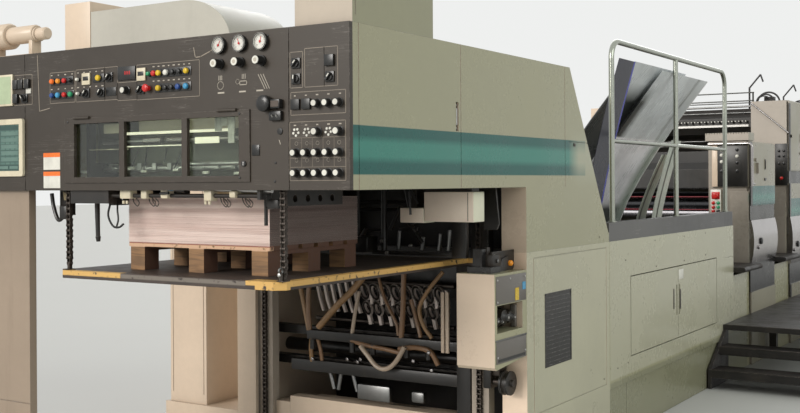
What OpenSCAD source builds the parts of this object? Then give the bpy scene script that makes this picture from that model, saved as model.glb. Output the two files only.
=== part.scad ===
// Sheet-fed offset printing press: delivery, low transfer section, low unit,
// printing units, feeder and operator walkway.
// +Y runs from the delivery to the feeder, +X is the operator side, z = 0 is the floor.

/* [Delivery housing] */
// Length of the housing along its flat top
housing_len = 2090; // [1900:10:2300]
// Length of the delivery where its slope meets the low section
delivery_len = 2650; // [2500:10:2900]
// Height of the underside of the housing
housing_base_z = 1515; // [1400:5:1600]
// Height of the top of the housing
housing_top_z = 2165; // [2050:5:2300]
// Height where the sloping rear of the housing ends
slope_foot_z = 1240; // [1215:5:1300]
// Distance from the sheet centreline to the operator side covers
operator_x = 1000; // [940:5:1060]
// Distance from the sheet centreline to the drive side covers
drive_x = 910; // [880:5:960]
// Thickness of a sheet-metal cover
cover_t = 30; // [20:1:36]
// Thickness of the control panel
panel_t = 22; // [14:1:26]
// Distance from the centreline to the outer edge of the console leg
console_x = 1420; // [1300:10:1500]
// Distance from the centreline to the inner edge of the console leg
console_inner_x = 893; // [860:1:905]
// Depth of the console leg behind the panel
console_depth = 230; // [150:5:300]
// Depth of the visible plate of the console leg
console_plate_t = 40; // [20:1:60]
// Length of the pile bay from the panel to the legs
bay_len = 1540; // [1500:5:1600]
// Height of the seam round the machine at the top of the doors
seam_z = 1185; // [1160:5:1200]
// Width of a seam between two covers
seam_w = 5; // [3:1:7]
// Depth of a seam between two covers
seam_d = 3; // [2:1:5]

// Width of the recess for a handle in a cover
catch_w = 24; // [16:1:30]
// Height of the recess for a handle in a cover
catch_h = 130; // [100:5:150]

/* [Window] */
// Left edge of the window frame
window_x0 = -598; // [-640:1:-560]
// Right edge of the window frame
window_x1 = 497; // [460:1:520]
// Lower edge of the window frame
window_z0 = 1557; // [1545:1:1570]
// Upper edge of the window frame
window_z1 = 1838; // [1800:1:1860]
// Width of the window frame's rails
window_rail = 18; // [12:1:24]
// Width of the window frame's mullions
window_mullion = 30; // [20:1:36]
// Thickness of a pane
pane_t = 5; // [3:1:8]

/* [Control panel] */
// Radius of a pressure gauge
gauge_r = 35; // [28:1:38]
// Height of the gauges' centres
gauge_z = 2117; // [2100:1:2122]
// Spacing of the gauges
gauge_pitch = 112; // [100:1:120]
// Position of the middle gauge
gauge_x = 458; // [450:1:470]
// Radius of a regulator knob
regulator_r = 18; // [14:1:22]
// Length of a regulator knob
regulator_len = 46; // [30:1:50]
// Height of the regulator knobs
regulator_z = 2040; // [2020:1:2050]
// Width of the monitor bezel
monitor_w = 360; // [300:5:400]
// Lower edge of the monitor bezel
monitor_z0 = 1583; // [1560:1:1600]
// Upper edge of the monitor bezel
monitor_z1 = 1858; // [1840:1:1880]
// Width of the rim of the monitor bezel
monitor_rim = 26; // [16:1:36]

/* [Pile] */
// Left edge of the pile board
board_x0 = -670; // [-690:1:-650]
// Right edge of the pile board
board_x1 = 660; // [640:1:680]
// Height of the top of the pile board
board_top_z = 1145; // [1100:1:1160]
// Thickness of the pile board
board_t = 35; // [25:1:45]
// Left edge of the paper stack
stack_x0 = -400; // [-460:1:-380]
// Right edge of the paper stack
stack_x1 = 443; // [420:1:460]
// Distance from the panel to the paper stack
stack_y0 = 195; // [170:1:260]
// Length of the paper stack
stack_len = 655; // [560:5:720]
// Height of the pallet
pallet_h = 128; // [110:1:150]
// Height of the paper stack
stack_h = 205; // [120:1:210]
// Depth of the pile's modelled travel
pile_travel = 600; // [500:1:600]

/* [Chains] */
// Pitch of the hoist chains
chain_pitch = 25.4; // [24:0.1:27]
// Radius of a chain roller
roller_r = 7.9; // [7:0.1:8.4]
// Width of a chain between its inner plates
chain_w = 14; // [12:0.5:16]
// Thickness of a chain plate
plate_t = 3; // [2.5:0.1:3.5]
// Height of a chain plate
plate_h = 21; // [18:0.5:23]
// Distance from the sheet centreline to the rear hoist chains
rear_chain_x = 716; // [705:1:725]

/* [Low section] */
// Length of the low section
low_len = 2640; // [2500:10:2800]
// Height of the sill on top of the low section
sill_z = 1296; // [1280:1:1310]
// Width of the sill
sill_w = 70; // [50:1:90]
// Height of the lower edge of the doors
door_z0 = 460; // [440:1:480]
// Height of the upper edge of the doors
door_z1 = 958; // [930:1:970]
// Width of one door
door_w = 905; // [850:5:930]
// Distance from the delivery to the doors
door_inset = 350; // [320:5:380]
// Thickness of a door
door_t = 20; // [16:1:24]
// Gap round a door
door_gap = 6; // [5:0.5:8]
// Gap at the hinge side of a door
hinge_gap = 9; // [8:0.5:12]
// Depth of the space behind the doors
locker_depth = 420; // [300:10:500]
// Height of the toe seam
toe_z = 312; // [280:1:340]
// Depth by which the toe panel stands back
toe_back = 12; // [6:1:20]

/* [Guard rail] */
// Radius of the guard rail's tube
rail_r = 17; // [14:0.5:20]
// Height of the guard rail
rail_top_z = 2390; // [2300:5:2450]
// Height of the guard rail's middle bar
rail_mid_z = 1785; // [1700:5:1850]
// Radius of the guard rail's bends
rail_bend = 110; // [80:5:150]

/* [Units] */
// Gap from the low section to the low unit
plinth_len = 540; // [500:5:600]
// Height of the plinth between the sections
plinth_z = 780; // [750:5:800]
// Length of the low unit
low_unit_len = 820; // [780:5:860]
// Height of the low unit
low_unit_z = 1870; // [1850:5:1950]
// Gap from the low unit to the first printing unit
unit_gap = 580; // [540:5:620]
// Number of printing units
unit_count = 4; // [2:1:5]
// Pitch of the printing units
unit_pitch = 1400; // [1300:5:1500]
// Length of a printing unit
unit_len = 900; // [860:5:940]
// Height of a printing unit
unit_z = 2300; // [2250:5:2400]
// Width of the operator side housing of a unit
tower_w = 355; // [320:5:380]
// Width of the drive side housing of a unit
gear_w = 260; // [220:5:300]
// Radius of the plate, blanket and impression cylinders
cylinder_r = 135; // [120:1:140]
// Radius of the large transfer cylinders
transfer_r = 200; // [180:1:210]
// Height of the impression cylinders' axes
impression_z = 900; // [880:5:920]
// Number of keys on an ink duct
ink_key_count = 20; // [12:1:24]
// Radius of an ink roller
ink_roller_r = 42; // [34:1:48]
// Depth of the recessed bands in the unit covers
band_d = 8; // [5:1:12]
// Height of the foot panel's lower edge
foot_z0 = 555; // [540:5:570]
// Height of the foot panel's upper edge, where the curved guard starts
foot_z1 = 750; // [730:5:780]
// Height of the curved guard's upper edge
guard_z1 = 1195; // [1180:5:1205]
// Depth by which the curved guard stands out
guard_bulge = 24; // [14:1:32]
// Depth of the seat of the curved guard
guard_seat = 30; // [20:1:40]
// Height of the lower edge of the front cover of a unit
front_cover_z0 = 1870; // [1850:5:1900]
// Thickness of the front covers and control boxes
front_cover_t = 14; // [8:1:20]
// Width of the gap between a front cover and the side cover
shadow_gap = 24; // [16:1:30]
// Height of the lower edge of the dark band on a printing unit
band_z0 = 1510; // [1480:5:1530]
// Height of the upper edge of the dark band on a printing unit
band_z1 = 1627; // [1600:5:1650]

/* [Feeder] */
// Length of the feed board
feed_board_len = 900; // [800:10:1000]
// Width of the feed board
feed_board_w = 1280; // [1200:10:1280]
// Height of the feed board at the last unit
feed_z0 = 900; // [880:5:920]
// Height of the feed board at the feeder
feed_z1 = 1150; // [1100:5:1200]
// Radius of the feed board's tape rollers
tape_roller_r = 24; // [18:1:28]
// Length of the feeder
feeder_len = 1250; // [1150:10:1350]
// Height of the feeder
feeder_z = 1750; // [1600:10:1800]
// Thickness of the feeder's side frames
feeder_frame_t = 90; // [60:5:110]
// Height of the feeder's pile
feeder_pile_h = 820; // [500:10:900]
// Width of the feeder's pile
feeder_pile_w = 1020; // [900:10:1080]

/* [Walkway] */
// Height of the walkway deck
deck_z = 430; // [400:5:450]
// Thickness of the walkway deck
deck_t = 40; // [30:1:50]
// Width of the walkway
walkway_w = 750; // [650:10:850]
// Distance from the panel to the start of the walkway deck
deck_y = 4990; // [4900:10:5100]
// Number of steps up to the walkway, the deck among them
step_count = 3; // [3:1:4]
// Depth of a step
step_going = 200; // [180:5:240]
// Height of the footboards between the units
footboard_z = 850; // [820:5:870]
// Depth by which a footboard stands out of the covers
footboard_out = 95; // [60:5:120]

/* [Hidden] */

$fn = 48;
seat = 0.3;
low_y0 = delivery_len;
low_y1 = low_y0 + low_len;
low_unit_y0 = low_y1 + plinth_len;
low_unit_y1 = low_unit_y0 + low_unit_len;
unit_y0 = low_unit_y1 + unit_gap;
last_unit_y1 = unit_y0 + (unit_count - 1) * unit_pitch + unit_len;
feeder_y0 = last_unit_y1 + feed_board_len;
press_end_y = feeder_y0 + feeder_len;
cabinet_x = 1520;
walkway_x1 = operator_x + walkway_w;
origin_x = (walkway_x1 - cabinet_x) / 2;
front_y = -regulator_len;
origin_y = (press_end_y + front_y) / 2;
inner_x = operator_x - cover_t;
drive_inner_x = drive_x - cover_t;
leg_w = 140;
cover_seams = [60, 870, 2020];
catch_z = housing_base_z + 257;
flap_z = housing_base_z + 240;
leg_door_z0 = 350;
leg_door_z1 = seam_z - 35;
vent_w = 325;
vent_z0 = 580;
vent_z1 = 950;
vent_slats = 12;
rear_cabinet_y1 = bay_len + 360;
cabinet_top_z = 1750;
cabinet_base_z = 180;
cabinet_w = 300;
console_box_x = 1200;
console_seam_z = 490;
track_lift = 40;
column_half = 50;
column_y = bay_len + 30;
column_t = 60;
column_foot_h = 60;
bay_wall_y = delivery_len - 300;
bay_wall_t = 40;
bar_y0 = bay_len + 160;
bar_t = 60;
bar_h = 50;
hose_foot_y = column_y + column_t + 10;
hose_head_y = hose_foot_y + 28;
hose_head_z = 1010;
bay_plate_y = bay_len + 260;
bay_plate_z = 900;
bay_plate_h = 280;
bay_shaft_y = bay_len + 320;
bay_shaft_z = 560;
bay_shaft_r = 38;
bay_base_x = 560;
comb_y = bar_y0 + 30;
hood_x0 = 1340;
hood_x1 = 300;
hood_y0 = 800;
hood_len = 500;
hood_h = 480;
hood_low_h = 265;
hood_round_r = 120;
side_box_x = 793;
side_box_y0 = bay_len - 350;
side_box_wall = 25;
side_box_end = 50;
cross_box_y0 = bay_len - 440;
cross_box_len = 150;
cross_box_x = 590;
board_len = bay_len + 4;
stack_base_z = board_top_z + pallet_h;

// Moves a piece from the machine's own datum to the middle of the machine's footprint
module at_origin() {
    translate([-origin_x, -origin_y, 0]) children();
}

// A plate in the XZ plane, from y0 to y0 + t
module wall_xz(y0, t) {
    translate([0, y0 + t, 0]) rotate([90, 0, 0]) linear_extrude(t) children();
}

// A plate in the YZ plane, from x0 to x0 + t
module wall_yz(x0, t) {
    translate([x0, 0, 0]) rotate([90, 0, 90]) linear_extrude(t) children();
}

// A block given by its lowest and highest corners
module block(low, high) {
    translate(low) cube(high - low);
}

// A cylinder along x
module bar_x(x0, x1, y, z, r) {
    translate([x0, y, z]) rotate([0, 90, 0]) cylinder(h = x1 - x0, r = r);
}

// A cylinder along y
module bar_y(y0, y1, x, z, r) {
    translate([x, y1, z]) rotate([90, 0, 0]) cylinder(h = y1 - y0, r = r);
}

// A cylinder along z
module bar_z(z0, z1, x, y, r) {
    translate([x, y, z0]) cylinder(h = z1 - z0, r = r);
}

// A flat rectangle with round corners
module round_rect(x0, z0, x1, z1, r) {
    translate([x0 + r, z0]) square([x1 - x0 - 2 * r, z1 - z0]);
    translate([x0, z0 + r]) square([x1 - x0, z1 - z0 - 2 * r]);
    for (x = [x0 + r, x1 - r], z = [z0 + r, z1 - r]) translate([x, z]) circle(r);
}

// One upright stretch of roller chain that starts with a pin at the origin
module chain(links) {
    for (i = [0 : links - 1]) {
        half = chain_w / 2 + (i % 2 == 0 ? 0 : plate_t);
        for (x = [-half - plate_t, half]) wall_yz(x, plate_t) chain_plate(i * chain_pitch);
    }
    for (i = [0 : links]) {
        bar_x(-chain_w / 2, chain_w / 2, 0, i * chain_pitch, roller_r);
        bar_x(-chain_w / 2 - 3 * plate_t, chain_w / 2 + 3 * plate_t, 0, i * chain_pitch, roller_r / 2);
    }
}

// The outline of one chain plate
module chain_plate(z) {
    translate([0, z]) circle(plate_h / 2);
    translate([0, z + chain_pitch]) circle(plate_h / 2);
    translate([-plate_h * 0.4, z]) square([plate_h * 0.8, chain_pitch]);
}

// Delivery housing

module control_panel() {
    color("#58504a") difference() {
        block([-console_x, 0, housing_base_z], [operator_x, panel_t, housing_top_z]);
        block([window_x0, -1, window_z0], [window_x1, panel_t + 1, window_z1]);
        for (x = [-console_inner_x, 703])
            block([x, -1, housing_base_z - 1], [x + seam_w, seam_d, housing_top_z + 1]);
    }
}

window_panes_x = [[-544, -250], [-219, 128], [159, 447]];

module window_frame() {
    flange = 8;
    color("#6e665c") difference() {
        union() {
            block([window_x0 - flange, -6, window_z0 - flange],
                [window_x1 + flange, 0, window_z1 + flange]);
            block([window_x0 + seat, -1, window_z0 + seat], [window_x1 - seat, 12, window_z1 - seat]);
            bar_x(window_x0 + 60, window_x0 + 160, -10, window_z1 + flange, 7);
            bar_x(window_x1 - 160, window_x1 - 60, -10, window_z1 + flange, 7);
        }
        for (p = window_panes_x)
            block([p[0], -20, window_z0 + window_rail], [p[1], 20, window_z1 - window_rail]);
    }
}

module window_panes() {
    lap = window_rail / 2;
    color("#c8d0b8") for (p = window_panes_x)
        block([p[0] - lap, 12, window_z0 + lap], [p[1] + lap, 12 + pane_t, window_z1 - lap]);
}

module monitor() {
    x1 = -console_inner_x - 1;
    x0 = x1 - monitor_w;
    color("#e6dcc0") difference() {
        wall_xz(-14, 14) round_rect(x0, monitor_z0, x1, monitor_z1, 12);
        block([x0 + monitor_rim, -20, monitor_z0 + monitor_rim],
            [x1 - monitor_rim, -4, monitor_z1 - monitor_rim]);
    }
}

module monitor_screen() {
    x1 = -console_inner_x - 1;
    x0 = x1 - monitor_w;
    color("#5c7f78")
        block([x0 + monitor_rim + 1, -8, monitor_z0 + monitor_rim + 1],
            [x1 - monitor_rim - 1, -4, monitor_z1 - monitor_rim - 1]);
}

module pressure_gauges() {
    color("#e8e4dc") for (i = [-1 : 1]) difference() {
        bar_y(-20, 0, gauge_x + i * gauge_pitch, gauge_z, gauge_r);
        bar_y(-21, -14, gauge_x + i * gauge_pitch, gauge_z, gauge_r - 5);
    }
}

module regulator_knobs() {
    color("#1c1a18") for (i = [-1 : 1]) {
        x = gauge_x + i * gauge_pitch;
        bar_y(-10, 0, x, regulator_z, regulator_r + 4);
        bar_y(-regulator_len, -10, x, regulator_z, regulator_r);
    }
}

module panel_handwheel() {
    knob_t = 22;
    x = 530;
    z = 1890;
    color("#151515") {
        bar_y(knob_t - regulator_len, 0, x, z, 14);
        translate([x, knob_t - regulator_len + seat, z]) rotate([90, 0, 0])
            cylinder(h = knob_t, r = 34, $fn = 8);
        block([x + 35, -26, z - 22], [x + 82, 0, z + 16]);
        block([x + 32, -18, z - 78], [x + 82, 0, z - 40]);
    }
}

module console_leg() {
    color("#d8c4ae") difference() {
        union() {
            block([-console_x, panel_t, 0], [-console_inner_x, panel_t + console_plate_t, housing_base_z]);
            block([-console_x, panel_t, 0], [-console_box_x, panel_t + console_depth, housing_base_z]);
        }
        block([-console_x - 1, panel_t - 1, console_seam_z],
            [-console_inner_x + 1, panel_t + seam_d, console_seam_z + seam_w]);
    }
}

module console_box() {
    color("#9a9c88")
        block([-console_x, panel_t, housing_base_z], [-drive_x, panel_t + console_depth, housing_top_z]);
}

// The side of the housing above the horizontal seam, from y = y0 to the slope
module housing_outline(y0) {
    polygon([[y0, housing_base_z], [y0, housing_top_z], [housing_len, housing_top_z],
        [delivery_len - 10, slope_foot_z], [delivery_len, slope_foot_z], [delivery_len, seam_z],
        [bay_len, seam_z], [bay_len, housing_base_z]]);
}

module operator_cover() {
    color("#96997c") difference() {
        union() {
            wall_yz(inner_x, cover_t) housing_outline(panel_t);
            block([operator_x - leg_w, bay_len, seam_z],
                [inner_x + 1, bay_len + cover_t, housing_base_z]);
        }
        for (y = cover_seams)
            block([operator_x - seam_d, y, housing_base_z - 1],
                [operator_x + 1, y + seam_w, housing_top_z + 1]);
        block([operator_x - seam_d, cover_seams[2] + 55, flap_z],
            [operator_x + 1, delivery_len, flap_z + seam_w]);
        block([operator_x - 10, cover_seams[1] - 18 - catch_w, catch_z],
            [operator_x + 1, cover_seams[1] - 18, catch_z + catch_h]);
    }
}

module operator_leg() {
    vent_y0 = bay_len + 220;
    vent_y1 = vent_y0 + vent_w;
    door_y = [bay_len + 80, delivery_len - 50];
    slat = (vent_z1 - vent_z0) / vent_slats;
    color("#a2a589") difference() {
        block([operator_x - leg_w, bay_len, 0], [operator_x, delivery_len, seam_z]);
        block([operator_x - 12, vent_y0, vent_z0], [operator_x + 1, vent_y1, vent_z1]);
        for (z = [leg_door_z0, leg_door_z1])
            block([operator_x - seam_d, door_y[0], z], [operator_x + 1, door_y[1], z + seam_w]);
        for (y = door_y)
            block([operator_x - seam_d, y, leg_door_z0], [operator_x + 1, y + seam_w, leg_door_z1 + seam_w]);
    }
    color("#4a4a48") for (i = [0 : vent_slats - 1]) let (z = vent_z0 + i * slat)
        translate([operator_x, vent_y1, z]) rotate([90, 0, 0]) linear_extrude(vent_y1 - vent_y0)
            polygon([[-12, slat * 0.5], [-12, slat * 0.8], [-2, slat * 0.35], [-2, slat * 0.1]]);
}

module drive_cover() {
    color("#96997c") difference() {
        wall_yz(-drive_x, cover_t) housing_outline(panel_t);
        for (y = [cover_seams[1], cover_seams[2]])
            block([-drive_x - 1, y, housing_base_z - 1], [-drive_x + seam_d, y + seam_w, housing_top_z + 1]);
        block([-drive_x - 1, cover_seams[1] - 18 - catch_w, catch_z],
            [-drive_x + 10, cover_seams[1] - 18, catch_z + catch_h]);
    }
}

module drive_leg() {
    color("#a2a589") difference() {
        block([-drive_x, bay_len, 0], [-drive_x + leg_w, delivery_len, seam_z]);
        for (z = [leg_door_z0, leg_door_z1])
            block([-drive_x - 1, rear_cabinet_y1 + 40, z],
                [-drive_x + seam_d, delivery_len - 50, z + seam_w]);
        for (y = [rear_cabinet_y1 + 40, delivery_len - 50])
            block([-drive_x - 1, y, leg_door_z0], [-drive_x + seam_d, y + seam_w, leg_door_z1 + seam_w]);
    }
}

module top_cover() {
    color("#8c8f78") difference() {
        block([-drive_inner_x, panel_t, housing_top_z - cover_t], [inner_x, housing_len, housing_top_z]);
        for (y = [650, 1500])
            block([-drive_x, y, housing_top_z - seam_d], [operator_x, y + seam_w, housing_top_z + 1]);
    }
}

module slope_cover() {
    color("#8c8f78") wall_yz(-drive_inner_x, inner_x + drive_inner_x)
        polygon([[housing_len, housing_top_z], [delivery_len - 10, slope_foot_z],
            [delivery_len - 10 - cover_t, slope_foot_z], [housing_len, housing_top_z - cover_t * 2]]);
}

module top_box() {
    color("#d2c8b4") difference() {
        block([720, panel_t, housing_top_z], [operator_x, 630, housing_top_z + 560]);
        block([operator_x - seam_d, 40, housing_top_z + 30],
            [operator_x + 1, 40 + seam_w, housing_top_z + 530]);
    }
}

module exhaust_hood() {
    top = housing_top_z + hood_h;
    low_top = housing_top_z + hood_low_h;
    flange_t = 20;
    color("#c4c4b8") {
        wall_xz(hood_y0, hood_len) {
            translate([-hood_x0, housing_top_z]) square([hood_x0 - hood_x1 - hood_round_r, hood_h]);
            translate([-hood_x0, housing_top_z]) square([hood_x0 - hood_x1, hood_low_h - hood_round_r]);
            translate([-hood_x1 - hood_round_r, low_top - hood_round_r]) circle(hood_round_r);
        }
        block([-hood_x0 - flange_t, hood_y0 - flange_t, housing_top_z],
            [-hood_x0, hood_y0 + hood_len + flange_t, top]);
    }
}

module blower() {
    color("#cfc6b0") {
        block([-1340, 40, housing_top_z], [-1290, 120, housing_top_z + 40]);
        bar_x(-1400, -1170, 80, housing_top_z + 120, 72);
        bar_x(-1170, -1140, 80, housing_top_z + 120, 40);
        block([-1300, 40, housing_top_z + 20], [-1220, 120, housing_top_z + 100]);
    }
}

module front_stop() {
    color("#1a1a1a") {
        block([-600, panel_t, housing_base_z - 60], [-350, panel_t + 50, housing_base_z + 20]);
        bar_x(-351, 540, panel_t + 24, housing_base_z - 24, 9);
        block([520, panel_t, housing_base_z - 40], [536, panel_t + 40, housing_base_z + 20]);
    }
}

module joggers() {
    top = housing_base_z - seat;
    color("#161616") {
        for (y = jogger_beam_ys)
            block([-drive_inner_x, y, housing_base_z], [inner_x, y + beam_w, housing_base_z + track_lift]);
        block([-790, 120, top - 120], [-750, 180, top]);
        bar_z(top - 240, top, -560, 150, 9);
        for (x = [stack_x0 - 65, stack_x1 + 35]) difference() {
            block([x, 130, top - 70], [x + 30, 640, top]);
            for (y = [200 : 90 : 560]) bar_x(x - 1, x + 31, y, top - 38, 16);
        }
        bar_z(top - 150, top, stack_x1 + 22, 145, 8);
        bar_y(90, 200, -690, top - 12, 12);
    }
}

jogger_beam_ys = [130, 600, 1340];
beam_w = 40;

module gripper_tracks() {
    z0 = housing_base_z + track_lift;
    color("#3a3a38") for (x = [-track_x - track_t, track_x]) {
        block([x, track_y0, z0], [x + track_t, track_y1, z0 + 90]);
        block([x, track_y0, z0 + 430], [x + track_t, track_y1, z0 + 520]);
        for (y = [track_y0, track_y1 - 40])
            block([x, y, z0 + 90 + seat], [x + track_t, y + 40, z0 + 430 - seat]);
    }
}

track_x = 580;
track_t = 20;
track_y0 = 120;
track_y1 = housing_len - 70;

module gripper_bars() {
    z = housing_base_z + track_lift + 60;
    fingers = 12;
    pitch = 2 * (track_x - 55) / (fingers - 1);
    color("#b8b8b0") for (y = [220, 780, cross_box_y0 + 180]) {
        bar_x(-track_x, track_x, y, z, 15);
        for (i = [0 : fingers - 1]) let (x = 55 - track_x + i * pitch)
            block([x - 12, y - 22, z - 8], [x + 12, y + 22, z + 24]);
    }
}

module cross_box() {
    y0 = cross_box_y0;
    y1 = y0 + cross_box_len;
    z0 = housing_base_z - 163;
    z1 = housing_base_z - 18;
    color("#d8ccb2") {
        difference() {
            block([cross_box_x, y0, z0], [inner_x - seat, y1, z1]);
            block([inner_x - 60, y0 - 1, z0 + 20], [inner_x - 60 + seam_w, y0 + seam_d, z1 - 20]);
        }
        block([track_x, y0 + 10, z1 + seat], [track_x + 40, y1 - 10, housing_base_z + track_lift - seat]);
        block([inner_x - 30, y0 + 10, z1 + seat], [inner_x - seat, y1 - 10, housing_base_z + track_lift]);
    }
}

module side_box() {
    x0 = side_box_x;
    y0 = side_box_y0;
    wall = side_box_wall;
    color("#cdbfa4") difference() {
        translate([x0, 0, 0]) rotate([90, 0, 90]) linear_extrude(operator_x - x0)
            polygon([[y0, side_box_z0 + 14], [y0 + 14, side_box_z0], [bay_len - seat, side_box_z0 + 30],
                [bay_len - seat, side_box_z1], [y0, side_box_z1]]);
        block([x0 + wall, y0 + wall, side_box_sill], [operator_x + 1, bay_len - side_box_end, side_box_head]);
        for (i = [0 : 7]) let (y = y0 + 60 + i * 32)
            block([operator_x - 4, y, side_box_z0 + 60], [operator_x + 1, y + 20, side_box_z0 + 66]);
    }
}

side_box_z0 = 640;
side_box_z1 = 1100;
side_box_sill = 815;
side_box_head = 948;

module side_box_drive() {
    y0 = side_box_y0 + side_box_wall;
    x = side_box_x + 107;
    z = side_box_sill + 55;
    top = side_box_z1;
    color("#1c1c1c") {
        bar_y(y0 + 25, y0 + 125, x, z, 42);
        bar_y(y0 + 124, bay_len - side_box_end - seat, x, z, 36);
        for (y = [y0 + 40, y0 + 90, y0 + 160, y0 + 200]) bar_y(y, y + 8, x, z, 47);
        block([x - 40, y0 + 35, side_box_sill], [x + 40, y0 + 115, z - 20]);
        block([x - 70, y0 + 15, top], [x + 60, y0 + 115, top + 30]);
        block([x - 50, y0 + 35, top + 30], [x, y0 + 75, top + 115]);
        translate([x + 30, y0 + 185, top]) rotate([90, 0, 90]) linear_extrude(8)
            polygon([[-50, 0], [40, 0], [60, 75], [-10, 60]]);
    }
}

module rear_columns() {
    for (s = [-1, 1]) {
        x = s * rear_chain_x;
        foot_half = column_half + 4;
        color("#a8a8a0")
            block([x - column_half, column_y, column_foot_h],
                [x + column_half, column_y + column_t, housing_base_z]);
        color("#141414")
            block([x - foot_half, column_y, 0], [x + foot_half, column_y + column_t + 20, column_foot_h]);
    }
}

module rear_chains() {
    color("#2a2622") for (s = [-1, 1])
        translate([s * rear_chain_x, column_y - plate_h / 2 - seat, column_foot_h + 2])
            chain(floor((housing_base_z - column_foot_h - chain_pitch - 5) / chain_pitch));
}

module rear_cabinet() {
    x0 = -cabinet_x + 24;
    x1 = x0 + cabinet_w;
    y0 = bay_len + 40;
    base_z = cabinet_base_z;
    color("#cfc3a8") difference() {
        block([x0, y0, base_z + seat], [x1, rear_cabinet_y1, cabinet_top_z]);
        block([x0 + 20, y0 - 1, base_z + 60], [x0 + 20 + seam_w, y0 + seam_d, cabinet_top_z - 40]);
        block([x1 - 25, y0 - 1, base_z + 60], [x1 - 25 + seam_w, y0 + seam_d, cabinet_top_z - 40]);
    }
    color("#b4a88e") block([-cabinet_x, y0 - 20, 0], [-drive_x - seat, rear_cabinet_y1 + 30, base_z]);
    color("#9a9a92")
        block([x1 + seat, y0 + 120, cabinet_top_z - 260], [-drive_x - seat, y0 + 200, cabinet_top_z - 180]);
}

module bay_back() {
    x0 = -drive_x + leg_w;
    x1 = operator_x - leg_w;
    color("#1d1c1b") {
        block([x0, bay_wall_y, 0], [x1, bay_wall_y + bay_wall_t, housing_base_z]);
        for (z = [manifold_z, comb_bar_z]) block([x0, bar_y0, z], [x1, bar_y0 + bar_t, z + bar_h]);
        block([x0, bay_plate_y, bay_plate_z], [x1, bay_plate_y + bay_wall_t, bay_plate_z + bay_plate_h]);
        bar_x(x0, x1, bay_shaft_y, bay_shaft_z, bay_shaft_r);
    }
}

manifold_z = 470;
bay_base_z = 300;
comb_bar_z = 650;

module bay_base() {
    x1 = rear_chain_x - column_half - 4;
    y1 = column_y + column_t + 50;
    color("#d8cdb0") {
        block([-bay_base_x, column_y + column_t / 2, 0], [x1, y1, bay_base_z]);
        block([-bay_base_x, y1, 0], [x1, rear_cabinet_y1, bay_base_z - 40]);
    }
}

module suction_combs() {
    count = 9;
    pitch = 78;
    arm = 250;
    color("#b9b6ac") for (i = [0 : count - 1]) translate([-360 + i * pitch, comb_y, comb_bar_z + bar_h])
        rotate([90, 0, 90]) linear_extrude(16) comb_outline(arm);
}

// The outline of one cast suction arm that stands on its foot at the origin
module comb_outline(arm) {
    difference() {
        union() {
            translate([-28, 0]) square([56, 30]);
            polygon([[-28, 20], [28, 20], [22, arm - 60], [-6, arm - 60]]);
            translate([14, arm - 50]) circle(42);
            translate([-20, 120]) circle(26);
        }
        translate([14, arm - 50]) circle(24);
        translate([4, 150]) circle(13);
        translate([2, 100]) circle(13);
        translate([0, 55]) circle(11);
    }
}

hose_count = 10;

// Points along a hose that leaves and arrives upright and bellies out between its ends
function hose_points(a, b, belly, n) = [for (i = [0 : n])
    let (t = i / n, s = t * t * (3 - 2 * t), w = sin(180 * t))
    [a[0] + (b[0] - a[0]) * s, a[1] + (b[1] - a[1]) * s + belly * w * w, a[2] + (b[2] - a[2]) * t]];

// A tube of eight sides through level rings at the given points
module level_tube(points, r) {
    n = len(points);
    sides = 8;
    polyhedron(
        [for (p = points, k = [0 : sides - 1]) p + r * [cos(k * 360 / sides), sin(k * 360 / sides), 0]],
        concat([[for (k = [0 : sides - 1]) k]],
            [for (i = [0 : n - 2], k = [0 : sides - 1]) let (m = (k + 1) % sides)
                [i * sides + k, (i + 1) * sides + k, (i + 1) * sides + m, i * sides + m]],
            [[for (k = [sides - 1 : -1 : 0]) (n - 1) * sides + k]]));
}

module air_hoses() {
    r = 11;
    inside = 2 * r;
    foot_pitch = 105;
    head_pitch = 95;
    stray = 28;
    foot_x0 = -(hose_count - 1) / 2 * foot_pitch;
    head_x0 = -(hose_count - 1) / 2 * head_pitch;
    color("#c8a066") for (i = [0 : hose_count - 1])
        let (foot = stray * ((2 * i) % 3 - 1), head = stray * (i % 3 - 1))
            level_tube(hose_points([foot_x0 + i * foot_pitch + foot, hose_foot_y, bay_base_z + seat],
                [head_x0 + i * head_pitch + head, hose_head_y, hose_head_z - seat],
                (i % 3 - 1) * 0.9 * r, 14), r + 2 * (i % 2));
    color("#1d1c1b") block([-drive_x + leg_w, hose_head_y - inside, hose_head_z],
        [operator_x - leg_w, hose_head_y + inside, hose_head_z + bar_h]);
}

// Pile

module pile_board() {
    y0 = -2;
    cut = 40;
    shoe_in = 60;
    shoe_out = rear_chain_x - 26;
    color("#4b3e36") {
        translate([0, 0, board_top_z - board_t]) linear_extrude(board_t)
            polygon([[board_x0, y0 + cut], [board_x0 + cut, y0], [board_x1 - cut, y0], [board_x1, y0 + cut],
                [board_x1, board_len], [board_x0, board_len]]);
        for (x = [[-shoe_out, board_x0 + shoe_in], [board_x1 - shoe_in, shoe_out]])
            block([x[0], board_len - 1, board_top_z - board_t], [x[1], bay_len + 30 - seat, board_top_z]);
    }
}

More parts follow.
